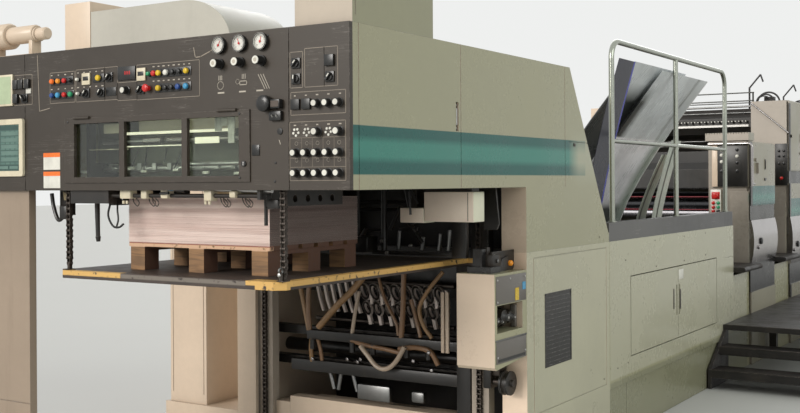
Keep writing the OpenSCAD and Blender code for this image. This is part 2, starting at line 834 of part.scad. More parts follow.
module pallet() {
    block_w = 90;
    board_w = 84;
    pallet_deck_t = 20;
    z1 = board_top_z + pallet_h;
    pitch = (stack_len - board_w) / 5;
    xs = [stack_x0 + 10, (stack_x0 + stack_x1 - block_w) / 2, stack_x1 - block_w - 10];
    ys = [stack_y0, stack_y0 + (stack_len - block_w) / 2, stack_y0 + stack_len - block_w];
    color("#a8764a") {
        for (i = [0 : 5]) let (y = stack_y0 + i * pitch)
            block([stack_x0, y, z1 - pallet_deck_t + seat], [stack_x1, y + board_w, z1]);
        for (x = xs) {
            block([x, stack_y0, z1 - 2 * pallet_deck_t],
                [x + block_w, stack_y0 + stack_len, z1 - pallet_deck_t]);
            for (y = ys) block([x, y, board_top_z], [x + block_w, y + block_w, z1 - 2 * pallet_deck_t]);
        }
    }
}

module paper_stack() {
    color("#d8c4bc")
        block([stack_x0, stack_y0, stack_base_z], [stack_x1, stack_y0 + stack_len, stack_base_z + stack_h]);
}

front_chain_xs = [board_x0 + 38, board_x1 - 18];
front_chain_y = panel_t + 20;

module front_chains() {
    links = floor((housing_base_z + pile_travel - board_top_z) / chain_pitch) - 1;
    color("#2a2622") for (x = front_chain_xs) translate([x, front_chain_y, board_top_z]) {
        translate([0, 0, 30]) chain(links);
        block([-chain_w / 2, -9, 0], [chain_w / 2, 9, 30]);
    }
}

// Low section

door_y0 = low_y0 + door_inset;
door_y1 = door_y0 + 2 * door_w + 2 * hinge_gap + door_gap;
hinge_r = 4;

module low_core() {
    color("#8f937a") difference() {
        block([-drive_x, low_y0, 0], [inner_x, low_y1, seam_z]);
        block([inner_x - locker_depth, door_y0 - 60, door_z0 - 40],
            [inner_x + 1, door_y1 + 60, door_z1 + 40]);
    }
}

module low_cover() {
    color("#a2a589") difference() {
        block([inner_x, low_y0, toe_z], [operator_x, low_y1, seam_z]);
        block([inner_x - 1, door_y0, door_z0], [operator_x + 1, door_y1, door_z1]);
        low_seams();
        for (y = [door_y0 + hinge_gap + hinge_r + 4, door_y1 - hinge_gap - hinge_r - 4])
            bar_z(door_z0 - 14, door_z1 + 14, operator_x - 8, y, hinge_r + 1);
    }
}

module low_seams() {
    x0 = operator_x - seam_d;
    x1 = operator_x + 1;
    block([x0, low_y1 - 260, door_z1 - 20], [x1, low_y1 - 30, door_z1 - 20 + seam_w]);
    block([x0, low_y1 - 80, door_z0 - 60], [x1, low_y1 - 80 + seam_w, door_z0 + 200]);
}

module toe_panel() {
    color("#a2a589") difference() {
        block([inner_x, low_y0, 0], [operator_x - toe_back, low_y1, toe_z]);
        block([operator_x - toe_back - seam_d, low_y0 + 300, -1],
            [operator_x, low_y0 + 300 + seam_w, toe_z + 1]);
    }
}

module door_leaf(y0) {
    block([operator_x - door_t, y0, door_z0 + door_gap], [operator_x, y0 + door_w, door_z1 - door_gap]);
}

module door_left() {
    y0 = door_y0 + hinge_gap;
    color("#a6a98c") {
        difference() {
            door_leaf(y0);
            block([operator_x - 9, y0 + door_w - 36, 620], [operator_x + 1, y0 + door_w - 16, 830]);
        }
        bar_z(door_z0 - 10, door_z0 + door_gap + 1, operator_x - 8, y0 + hinge_r + 4, hinge_r);
        bar_z(door_z1 - door_gap - 1, door_z1 + 10, operator_x - 8, y0 + hinge_r + 4, hinge_r);
    }
}

module door_right() {
    y0 = door_y0 + hinge_gap + door_w + door_gap;
    color("#a6a98c") {
        difference() {
            door_leaf(y0);
            block([operator_x - 9, y0 + 16, 620], [operator_x + 1, y0 + 36, 830]);
        }
        bar_z(door_z0 - 10, door_z0 + door_gap + 1, operator_x - 8, y0 + door_w - hinge_r - 4, hinge_r);
        bar_z(door_z1 - door_gap - 1, door_z1 + 10, operator_x - 8, y0 + door_w - hinge_r - 4, hinge_r);
    }
}

module sill() {
    color("#73736e") {
        block([operator_x - sill_w, low_y0, seam_z], [operator_x, low_y1 - 20, sill_z]);
        block([-drive_x, low_y0, seam_z], [-drive_x + sill_w, low_y1 - 20, sill_z]);
        block([-drive_x + sill_w + seat, low_y0, seam_z],
            [operator_x - sill_w - seat, low_y1 - 20, low_deck_z]);
    }
}

rail_x = operator_x - 26;
rail_y0 = low_y0 + 120;
rail_y1 = low_y1 - 130;

module guard_rail() {
    color("#c0c4c4") {
        for (y = [rail_y0, (rail_y0 + rail_y1) / 2, rail_y1])
            bar_z(sill_z, sill_z + 8, rail_x, y, rail_r + 8);
        for (y = [rail_y0, rail_y1]) bar_z(sill_z, rail_top_z - rail_bend, rail_x, y, rail_r);
        bar_y(rail_y0 + rail_bend, rail_y1 - rail_bend, rail_x, rail_top_z, rail_r);
        bar_y(rail_y0, rail_y1, rail_x, rail_mid_z, rail_r * 0.8);
        bar_z(sill_z, rail_top_z, rail_x, (rail_y0 + rail_y1) / 2, rail_r);
        translate([rail_x, rail_y0 + rail_bend, rail_top_z - rail_bend]) rotate([90, 0, -90])
            rotate_extrude(angle = 90) translate([rail_bend, 0]) circle(rail_r);
        translate([rail_x, rail_y1 - rail_bend, rail_top_z - rail_bend]) rotate([90, 0, 90])
            rotate_extrude(angle = 90) translate([rail_bend, 0]) circle(rail_r);
    }
}

rail_len = rail_y1 - rail_y0;
sheet_t = 3;
sheet_h = 1085;
sheet_lean = 713;
sheet_curve = 1.25;

// A thin sheet along y that stands on the deck and bows out against the rail.
// The top stands in from the rail by gap, and the foot by lean more
module leaning_sheet(y, len, gap, lean, h) {
    rows = 6;
    profile = [for (i = [0 : rows]) let (t = i / rows) [-gap - lean * (1 - pow(t, sheet_curve)), h * t]];
    translate([rail_x - rail_r - seat, y + len, low_deck_z]) rotate([90, 0, 0]) linear_extrude(len)
        polygon(concat(profile, [for (i = [rows : -1 : 0]) profile[i] - [sheet_t, 0]]));
}

module spare_sheets() {
    y = rail_y0;
    l = rail_len;
    s = sheet_lean;
    h = sheet_h;
    color("#b4b4ba") {
        leaning_sheet(y + 0.412 * l, 0.429 * l, 0, s, h);
        leaning_sheet(y + 0.213 * l, 0.439 * l, 8 * sheet_t, 1.08 * s, 1.02 * h);
        leaning_sheet(y + 0.854 * l, 0.096 * l, 0.41 * s, 0.24 * s, 0.6 * h);
        leaning_sheet(y + 0.874 * l, 0.084 * l, 0.54 * s, 0.31 * s, 0.5 * h);
    }
    color("#20224e") leaning_sheet(y + 0.075 * l, 0.117 * l, 0, 0.365 * s, 1.01 * h);
}

low_deck_z = seam_z + 20;

module plinths() {
    color("#a2a589") {
        block([-drive_x, low_y1, 0], [operator_x - 20, low_unit_y0, plinth_z]);
        block([-drive_x, low_unit_y1, 0], [operator_x - 20, unit_y0, plinth_z]);
        for (i = [0 : unit_count - 2])
            block([-drive_x, unit_y0 + i * unit_pitch + unit_len, 0],
                [operator_x - 20, unit_y0 + (i + 1) * unit_pitch, plinth_z]);
    }
}

// Low unit and printing units

core_x0 = -operator_x + gear_w;
core_x1 = operator_x - tower_w;
low_foot = [603, 845];
low_guard_z1 = 1206;
low_band_z1 = 1328;

// A round rod from a to b
module rod(a, b, r) {
    d = b - a;
    translate(a) rotate([0, acos(d[2] / norm(d)), atan2(d[1], d[0])]) cylinder(h = norm(d), r = r);
}

// An operator side housing with its foot recess, its guard's seat, a dark band and a gap at its front edge
module tower(y0, len, foot, guard_top, band, top) {
    chamfer = 12;
    x1 = operator_x;
    difference() {
        translate([0, y0 + len, 0]) rotate([90, 0, 0]) linear_extrude(len)
            polygon([[core_x1, 0], [x1, 0], [x1, foot[0]], [x1 - band_d, foot[0]], [x1 - band_d, foot[1]],
                [x1 - guard_seat, foot[1]], [x1 - guard_seat, guard_top], [x1, guard_top], [x1, band[0]],
                [x1 - band_d, band[0]], [x1 - band_d, band[1]], [x1, band[1]], [x1, top - chamfer],
                [x1 - chamfer, top], [core_x1, top]]);
        block([x1 - 10 - shadow_gap, y0 - 1, deck_z], [x1 - 10, y0 + 20, top + 1]);
        block([x1 - seam_d, y0 - 1, band[1] + 4], [x1 + 1, y0 + len + 1, band[1] + 4 + seam_w]);
    }
}

// The curved guard that sits in the seat of a housing, with round catches at the given places along y
module guard_cover(y0, len, z0, z1, catch_ys) {
    h = z1 - z0 - 2 * seat;
    r = (h * h / 4 + guard_bulge * guard_bulge) / (2 * guard_bulge);
    for (y = catch_ys) bar_x(operator_x, operator_x + guard_bulge + 10, y, z0 + 130, 15);
    translate([operator_x, y0 + len, (z0 + z1) / 2]) rotate([90, 0, 0]) linear_extrude(len)
        intersection() {
            translate([guard_bulge - r, 0]) circle(r, $fn = 240);
            translate([seat - guard_seat, -h / 2]) square([guard_seat + guard_bulge + 1, h]);
        }
}

// A round catch on the operator side of a housing
module catch(y, z) {
    bar_x(operator_x - 1, operator_x + 12, y, z, 15);
}

module low_unit_tower() {
    y0 = low_unit_y0;
    box_t = 2 * front_cover_t;
    color("#b8b09a") {
        difference() {
            union() {
                tower(y0, low_unit_len, low_foot, low_guard_z1, [low_guard_z1 + 4, low_band_z1], low_unit_z);
                block([core_x1 + 180, y0 - front_cover_t, footboard_z + seat],
                    [operator_x - 17, y0 + 1, 1451]);
                block([core_x1 + 36, y0 - box_t, 1489], [operator_x - 17, y0 + 1, 1859]);
                block([core_x1 + 23, y0 - box_t, 1264], [core_x1 + 113, y0 + 1, 1466]);
                catch(y0 + 150, 1715);
                block([operator_x - 1, y0 + 180, 1600], [operator_x + 20, y0 + 210, 1690]);
            }
            for (i = [1 : 3]) let (y = y0 + i * low_unit_len / 4)
                block([operator_x - seam_d, y, 40], [operator_x + 1, y + seam_w, deck_z - 60]);
        }
        block([-operator_x, y0, 0], [core_x0, low_unit_y1, low_unit_z]);
    }
    color("#c4c6c6") wall_xz(y0 - 10, 180)
        ribbed_bar(core_x1 - 24, operator_x - 14, low_unit_z + 8, low_unit_z + 75);
    color("#b8b09a")
        block([core_x1, y0 + 20, low_unit_z + seat], [operator_x - 20, y0 + 150, low_unit_z + 8 - seat]);
}

// The outline of a flat bar with grooves along its face
module ribbed_bar(x0, x1, z0, z1) {
    count = 16;
    pitch = (x1 - x0) / count;
    difference() {
        translate([x0, z0]) square([x1 - x0, z1 - z0]);
        for (i = [0 : count - 1]) translate([x0 + (i + 0.35) * pitch, z1 - 10]) square([pitch * 0.3, 11]);
    }
}

module low_unit_cylinders() {
    yc = (low_unit_y0 + low_unit_y1) / 2;
    coater_z = impression_z + transfer_r + cylinder_r + 1;
    color("#8a8c90") {
        bar_x(core_x0, core_x1, yc, impression_z, transfer_r);
        bar_x(core_x0, core_x1, yc - 60, coater_z, cylinder_r);
        bar_x(core_x0, core_x1, yc + 40, coater_z + cylinder_r * 1.8 + 8, cylinder_r * 0.8);
        block([core_x0, low_unit_y0 + 40, 300], [core_x1, low_unit_y1 - 40, impression_z - transfer_r - 1]);
    }
}

module each_unit() {
    for (i = [0 : unit_count - 1]) translate([0, unit_y0 + i * unit_pitch, 0]) children();
}

module unit_towers() {
    color("#b8b09a") each_unit() {
        tower(0, unit_len, [foot_z0, foot_z1], guard_z1, [band_z0, band_z1], unit_z);
        block([core_x1, -front_cover_t, front_cover_z0], [operator_x - shadow_gap, 1, unit_z - 6]);
        block([operator_x - 132, -front_cover_t, 1490], [operator_x - 14, 1, front_cover_z0 + 15]);
        block([core_x1, -front_cover_t, footboard_z + seat], [operator_x - 40, 1, 1440]);
        for (y = [60, unit_len - 60]) catch(y, 1960);
    }
}

module unit_gear_housings() {
    vent = [180, unit_len - 180, 1700, 1950];
    pitch = 25;
    color("#9a9c84") each_unit() difference() {
        block([-operator_x, 0, 0], [core_x0, unit_len, unit_z]);
        for (z = [420, 1180, band_z1])
            block([-operator_x - 1, -1, z], [-operator_x + seam_d, unit_len + 1, z + seam_w]);
        block([-operator_x - 1, unit_len / 2, 420], [-operator_x + seam_d, unit_len / 2 + seam_w, band_z1]);
        for (y = [unit_len / 2 - 60, unit_len / 2 + 40])
            block([-operator_x - 1, y, 700], [-operator_x + 12, y + 24, 840]);
        for (z = [vent[2] : pitch : vent[3]])
            block([-operator_x - 1, vent[0], z], [-operator_x + 10, vent[1], z + pitch / 3]);
    }
}

// Height and distance along the unit of the plate cylinder
blanket_z = impression_z + transfer_r + cylinder_r + 2;
plate_z = blanket_z + 2 * cylinder_r - 18;
plate_y = unit_len / 2 - 120;

module unit_cylinders() {
    yc = unit_len / 2;
    color("#8a8c90") each_unit() {
        bar_x(core_x0, core_x1, yc + 40, impression_z, transfer_r);
        bar_x(core_x0, core_x1, yc - 20, blanket_z, cylinder_r);
        bar_x(core_x0, core_x1, plate_y, plate_z, cylinder_r);
        block([core_x0, 60, 200], [core_x1, unit_len - 60, impression_z - transfer_r - 2]);
    }
}

ink_h = 440;
ink_top_z = unit_z - 60;
ink_z0 = ink_top_z - ink_h;
ink_face_y = 60;
ink_face_z0 = ink_z0 + 0.59 * ink_h;
ink_face_z1 = ink_z0 + 0.795 * ink_h;

// The inking section above the form rollers, seen from the operator side
module ink_outline() {
    polygon([[ink_face_y, ink_face_z0], [ink_face_y, ink_face_z1], [ink_face_y + 50, ink_top_z],
        [unit_len - 80, ink_top_z], [unit_len - 80, ink_z0], [5.5 * ink_face_y, ink_z0],
        [4.5 * ink_face_y, ink_z0 + 0.36 * ink_h], [ink_face_y + 50, ink_z0 + 0.45 * ink_h]]);
}

// Three form rollers on the plate cylinder and two riders between them
module ink_rollers() {
    step = 30;
    form = cylinder_r + ink_roller_r + 1;
    rider = form * cos(step / 2) + sqrt(pow(2 * ink_roller_r + 2, 2) - pow(form * sin(step / 2), 2));
    for (a = [90 - step, 90, 90 + step])
        bar_x(core_x0, core_x1, plate_y + form * cos(a), plate_z + form * sin(a), ink_roller_r);
    for (a = [90 - step / 2, 90 + step / 2])
        bar_x(core_x0, core_x1, plate_y + rider * cos(a), plate_z + rider * sin(a), ink_roller_r);
}

// The coating trough of the low unit, with a sloping front shoulder
module coater_outline(y, z, h) {
    polygon([[y, z - h], [y, z - 0.27 * h], [y + 0.27 * h, z], [y + 0.64 * h, z],
        [y + 0.73 * h, z - 0.27 * h], [y + 0.73 * h, z - 0.91 * h]]);
}

module ink_units() {
    color("#1b1b1b") {
        each_unit() {
            wall_yz(core_x0, core_x1 - core_x0) ink_outline();
            ink_rollers();
        }
        wall_yz(core_x0, core_x1 - core_x0) coater_outline(low_unit_y0 + ink_face_y, low_unit_z - 170, 220);
        block([core_x0, low_unit_y1 - 160, low_unit_z - 570], [core_x1, low_unit_y1 - 60, low_unit_z - 60]);
    }
}

module ink_keys() {
    x0 = core_x0 + 60;
    x1 = core_x1 - 60;
    pitch = (x1 - x0) / (ink_key_count - 1);
    color("#c4c0b8") each_unit() {
        for (i = [0 : ink_key_count - 1]) let (x = x0 + i * pitch) {
            bar_y(ink_face_y - 26, ink_face_y - seat, x, ink_face_z0 + 56, 8);
            bar_y(ink_face_y - 36, ink_face_y - 20, x, ink_face_z0 + 56, 13);
        }
        block([x0 - 20, ink_face_y - 12, ink_face_z0 + 4], [x1 + 20, ink_face_y - seat, ink_face_z0 + 24]);
    }
}

guard_bar_step = 290;
guard_bar_z0 = guard_z1 - 15;
guard_bar_z1 = guard_bar_z0 + 2 * guard_bar_step;
roof_rail_z = unit_z + 90;

module unit_guards() {
    strut_y = -front_cover_t - 12;
    color("#a8aaac") {
        each_unit() {
            for (z = [guard_bar_z0 : guard_bar_step : guard_bar_z1]) bar_x(core_x0, core_x1, 20, z, 14);
            for (x = [core_x0 + 40, core_x1 - 40]) bar_z(guard_bar_z0 - 20, guard_bar_z1 + 20, x, 20, 10);
            guard_cover(4, unit_len - 8, foot_z1, guard_z1, [60, unit_len - 60]);
            rod([core_x1 + 8, strut_y, unit_z - 20], [operator_x - 6, strut_y, front_cover_z0 + 118], 7);
            for (p = [[core_x1 + 12, unit_z - 24], [operator_x - 40, front_cover_z0 + 148]])
                bar_y(strut_y, -front_cover_t - seat, p[0], p[1], 9);
            for (z = [unit_z + 12, roof_rail_z]) bar_x(core_x0 - 40, core_x1 + 20, 30, z, 6);
            for (x = [core_x0 - 30, core_x1 + 10]) bar_z(unit_z + seat, roof_rail_z, x, 30, 8);
        }
        guard_cover(low_unit_y0 + 4, low_unit_len - 8, low_foot[1], low_guard_z1, [low_unit_y0 + 150]);
        grab_tube();
        for (z = [guard_bar_z0 : 110 : guard_bar_z0 + 220]) bar_x(core_x0, core_x1, low_unit_y0 + 20, z, 12);
    }
}

// The grab tube round the front corner of the low unit
module grab_tube() {
    r = 11;
    bend = 34;
    y = low_unit_y0 - 2 * front_cover_t - 14;
    x0 = core_x1 + 8;
    x1 = operator_x + 22;
    z0 = 1492;
    z1 = 1850;
    bar_x(x0, x1 - bend, y, z1, r);
    bar_z(z0, z1 - bend, x1, y, r);
    translate([x1 - bend, y, z1 - bend]) rotate([90, 0, 0])
        rotate_extrude(angle = 90) translate([bend, 0]) circle(r);
    bar_y(y, low_unit_y0 - seat, x0 + 12, z1, r - 2);
    bar_y(y, low_unit_y0 + 30, x1, z0 + 20, r - 2);
    bar_x(operator_x + seat, x1, low_unit_y0 + 20, z0 + 20, r - 4);
}

module ink_hoses() {
    foot_z = ink_top_z + seat;
    y = ink_face_y + 110;
    arm_x = core_x1 - 60;
    arm_z = unit_z + 152;
    arm_rise = 121;
    color("#141414") each_unit() {
        for (h = [[700, 88, 8], [725, 108, 9], [690, 70, 6]]) let (yh = y + 60 + h[1]) {
            translate([h[0], yh, unit_z + seat]) rotate([90, 0, 0])
                rotate_extrude(angle = 180) translate([h[1], 0]) circle(h[2]);
            bar_z(foot_z, unit_z + seat, h[0] - h[1], yh, h[2]);
        }
        rod([arm_x, y, foot_z], [arm_x, y, arm_z], 9);
        rod([arm_x, y, arm_z - 6], [arm_x + 108, y, arm_z + arm_rise], 8);
        rod([arm_x + 106, y, arm_z + arm_rise], [arm_x + 131, y, arm_z + 0.4 * arm_rise], 8);
        block([core_x1 + 20, y + 240, unit_z + seat], [core_x1 + 110, y + 330, unit_z + 70]);
    }
}

module footboards() {
    nose = 20;
    color("#5a5850") {
        for (y = [[low_y1, low_unit_y0], [low_unit_y1, unit_y0]]) footboard(y[0], y[1], nose);
        for (i = [0 : unit_count - 2])
            footboard(unit_y0 + i * unit_pitch + unit_len, unit_y0 + (i + 1) * unit_pitch, nose);
    }
}

// One footboard with a rounded nose along its outer edge
module footboard(y0, y1, nose) {
    x1 = operator_x + footboard_out - nose;
    block([operator_x - 300, y0, footboard_z - 2 * nose], [x1, y1, footboard_z]);
    bar_y(y0, y1, x1, footboard_z - nose, nose);
}

// Feeder

module feed_board() {
    half = feed_board_w / 2;
    y0 = last_unit_y1;
    y1 = feeder_y0;
    slope = [feed_board_len, feed_z1 - feed_z0];
    tapes = 6;
    tape_w = 40;
    tape_x = (feed_board_w - 200) / (tapes - 1);
    color("#8c8c84") {
        wall_yz(-half, 2 * half) polygon([[y0 + 2 * tape_roller_r, feed_z0 - 40],
            [y0 + 2 * tape_roller_r, feed_z0], [y1 - 2 * tape_roller_r, feed_z1 - 30],
            [y1 - 2 * tape_roller_r, feed_z1 - 90]]);
        for (x = [[-drive_x, -half - seat], [half + seat, operator_x - 40]])
            wall_yz(x[0], x[1] - x[0]) polygon([[y0, 0], [y1, 0], [y1, feed_z1 + 20], [y0, feed_z0 + 20]]);
        bar_x(-half, half, y0 + tape_roller_r, feed_z0 - tape_roller_r, tape_roller_r - 1);
        bar_x(-half, half, y1 - tape_roller_r, feed_z1 - 30 - tape_roller_r, tape_roller_r - 1);
        for (i = [0 : tapes - 1]) let (x = 100 - half + i * tape_x)
            wall_yz(x - tape_w / 2, tape_w) polygon([for (t = [[0.08, 1], [0.92, 1], [0.92, 4], [0.08, 4]])
                [y0 + t[0] * slope[0], feed_z0 + (slope[1] - 30) * (t[0] * slope[0] - 2 * tape_roller_r)
                    / (slope[0] - 4 * tape_roller_r) + t[1]]]);
    }
}

module feeder() {
    x0 = -drive_x + feeder_frame_t;
    x1 = operator_x - feeder_frame_t;
    head_y = feeder_y0 + 200;
    head_z = feeder_z - 150;
    color("#9a9c84") {
        for (x = [-drive_x, x1]) wall_yz(x, feeder_frame_t) difference() {
            feeder_outline();
            for (y = [feeder_y0 + 330, press_end_y - 200]) translate([y, 1250]) circle(30);
        }
        block([x0, feeder_y0, feed_z1 - 150], [x1, feeder_y0 + 60, feed_z1]);
        block([x0, head_y, head_z], [x1, head_y + 160, feeder_z - 20]);
        bar_x(x0, x1, feeder_y0 + 120, 1400, 26);
        bar_x(x0, x1, press_end_y - 120, 1300, 26);
        difference() {
            block([-380, head_y + 160, head_z - 60], [380, head_y + 460, head_z + 90]);
            for (x = [-300 : 120 : 300])
                block([x - 20, head_y + 448, head_z - 40], [x + 20, head_y + 461, head_z + 70]);
        }
        for (x = [-270, -90, 90, 270], y = [head_y + 220, head_y + 380]) {
            bar_z(head_z - 180, head_z - 59, x, y, 16);
            bar_z(head_z - 190, head_z - 176, x, y, 26);
        }
    }
}

// The side of a feeder frame
module feeder_outline() {
    y0 = feeder_y0;
    y1 = press_end_y;
    shoulder_z = feeder_z - 250;
    polygon([[y0, 0], [y1, 0], [y1, shoulder_z - 130], [y1 - 110, shoulder_z], [y0 + 580, shoulder_z],
        [y0 + 520, feeder_z - 40], [y0 + 480, feeder_z], [y0 + 90, feeder_z], [y0, feeder_z - 120]]);
}

module feeder_pile() {
    x0 = -drive_x + feeder_frame_t + seat;
    x1 = operator_x - feeder_frame_t - seat;
    xm = (x0 + x1) / 2;
    y0 = feeder_y0 + 320;
    y1 = press_end_y - 80;
    half = feeder_pile_w / 2;
    base_t = 60;
    runner_h = 90;
    deck_h = 25;
    color("#8a8a84") block([x0, y0 - 20, 0], [x1, y1 + 20, base_t]);
    color("#a8764a") {
        for (x = [xm - half, xm - 50, xm + half - 100])
            block([x, y0, base_t], [x + 100, y1, base_t + runner_h]);
        block([xm - half, y0, base_t + runner_h], [xm + half, y1, base_t + runner_h + deck_h]);
    }
    color("#e0dcd4") block([xm - half + 15, y0 + 15, base_t + runner_h + deck_h],
        [xm + half - 15, y1 - 15, base_t + runner_h + deck_h + feeder_pile_h]);
}

// Walkway

module walkway() {
    rise = deck_z / step_count;
    y0 = deck_y - (step_count - 1) * step_going;
    side_t = 24;
    nose_h = 60;
    post = 60;
    under_z = deck_z - deck_t - seat;
    color("#3f3831") {
        block([operator_x, deck_y, deck_z - deck_t], [walkway_x1, press_end_y, deck_z]);
        for (i = [1 : step_count - 1]) let (y = y0 + (i - 1) * step_going)
            wall_yz(operator_x + side_t + 2 * seat, walkway_w - 2 * side_t - 3 * seat)
                polygon([[y, i * rise], [y, i * rise - nose_h], [y + 14, i * rise - nose_h],
                    [y + 14, i * rise - deck_t], [y + step_going + 20, i * rise - deck_t],
                    [y + step_going + 20, i * rise]]);
        for (x = [operator_x + seat, walkway_x1 - side_t])
            wall_yz(x, side_t) polygon([[y0, 0], [deck_y + post, 0], [deck_y + post, under_z],
                [deck_y, under_z], [y0, rise]]);
        for (y = [deck_y + 1300 : 1600 : press_end_y - 200], x = [operator_x + 30, walkway_x1 - post - 10])
            block([x, y, 0], [x + post, y + post, under_z]);
        block([walkway_x1 - side_t, deck_y + post + 10, under_z - 80], [walkway_x1, press_end_y, under_z]);
    }
}

at_origin() control_panel();
at_origin() window_frame();
at_origin() window_panes();
at_origin() monitor();
at_origin() monitor_screen();
at_origin() pressure_gauges();
at_origin() regulator_knobs();
at_origin() panel_handwheel();
at_origin() console_leg();
at_origin() console_box();
at_origin() operator_cover();
at_origin() operator_leg();
at_origin() drive_cover();
at_origin() drive_leg();
at_origin() top_cover();
at_origin() slope_cover();
at_origin() top_box();
at_origin() exhaust_hood();
at_origin() blower();
at_origin() front_stop();
at_origin() joggers();
at_origin() gripper_tracks();
at_origin() gripper_bars();
at_origin() cross_box();
at_origin() side_box();
at_origin() side_box_drive();
at_origin() rear_columns();
at_origin() rear_chains();
at_origin() rear_cabinet();
at_origin() bay_back();
at_origin() bay_base();
at_origin() suction_combs();
at_origin() air_hoses();
at_origin() pile_board();
at_origin() pallet();
at_origin() paper_stack();
at_origin() front_chains();
at_origin() low_core();
at_origin() low_cover();
at_origin() toe_panel();
at_origin() door_left();
at_origin() door_right();
at_origin() sill();
at_origin() guard_rail();
at_origin() spare_sheets();
at_origin() plinths();
at_origin() low_unit_tower();
at_origin() low_unit_cylinders();
at_origin() unit_towers();
at_origin() unit_gear_housings();
at_origin() unit_cylinders();
at_origin() ink_units();
at_origin() ink_keys();
at_origin() unit_guards();
at_origin() ink_hoses();
at_origin() footboards();
at_origin() feed_board();
at_origin() feeder();
at_origin() feeder_pile();
at_origin() walkway();
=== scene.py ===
"""Finishes, small parts, camera and light for a sheet-fed offset printing press.

The press stands along +Y, its delivery at the low end, its operator side towards +X. Sizes in the classes
are in metres on the machine's own datum: x from the sheet centreline, y from the face of the control panel
and z from the floor.
"""

import logging
import math
import random
from dataclasses import dataclass
from enum import Enum
from typing import Optional, Sequence

import bmesh
import bpy
from mathutils import Matrix, Vector


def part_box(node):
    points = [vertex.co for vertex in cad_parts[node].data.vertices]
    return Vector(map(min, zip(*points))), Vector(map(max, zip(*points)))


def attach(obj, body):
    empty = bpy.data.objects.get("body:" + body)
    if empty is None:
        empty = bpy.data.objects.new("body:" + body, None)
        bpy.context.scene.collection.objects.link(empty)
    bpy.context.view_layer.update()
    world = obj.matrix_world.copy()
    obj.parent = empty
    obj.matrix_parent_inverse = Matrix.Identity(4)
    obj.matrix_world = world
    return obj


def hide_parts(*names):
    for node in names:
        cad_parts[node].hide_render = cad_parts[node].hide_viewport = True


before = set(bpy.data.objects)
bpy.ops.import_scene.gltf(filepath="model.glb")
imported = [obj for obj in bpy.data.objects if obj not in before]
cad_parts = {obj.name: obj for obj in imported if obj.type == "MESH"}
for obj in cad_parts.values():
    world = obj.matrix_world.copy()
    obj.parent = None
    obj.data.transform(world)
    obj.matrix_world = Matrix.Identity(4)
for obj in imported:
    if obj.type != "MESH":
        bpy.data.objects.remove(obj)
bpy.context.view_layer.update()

HALF_WIDTH = 1.0
UNIT_COUNT = 4
UNIT_PITCH = 1.40
FAR = 20.0
SMOOTH_ANGLE = math.radians(35.0)
Colour = tuple[float, float, float]
Point = tuple[float, float, float]
Flat = Sequence[tuple[float, float]]
FRONT: Point = (0.0, -1.0, 0.0)
SIDE: Point = (1.0, 0.0, 0.0)
log = logging.getLogger("press")


@dataclass(frozen=True)
class Datum:
    """Turns the machine's own coordinates into the frame's."""

    origin: Vector

    @classmethod
    def from_frame(cls) -> "Datum":
        """Finds the machine's datum from the operator cover, the control panel and the floor."""
        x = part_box("operator_cover")[1].x - HALF_WIDTH
        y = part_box("control_panel")[0].y
        return cls(Vector((x, y, 0.0)))

    def at(self, point: Sequence[float]) -> Vector:
        """The frame's coordinates of a point on the machine."""
        return self.origin + Vector(point)


DATUM = Datum.from_frame()


# Node groups


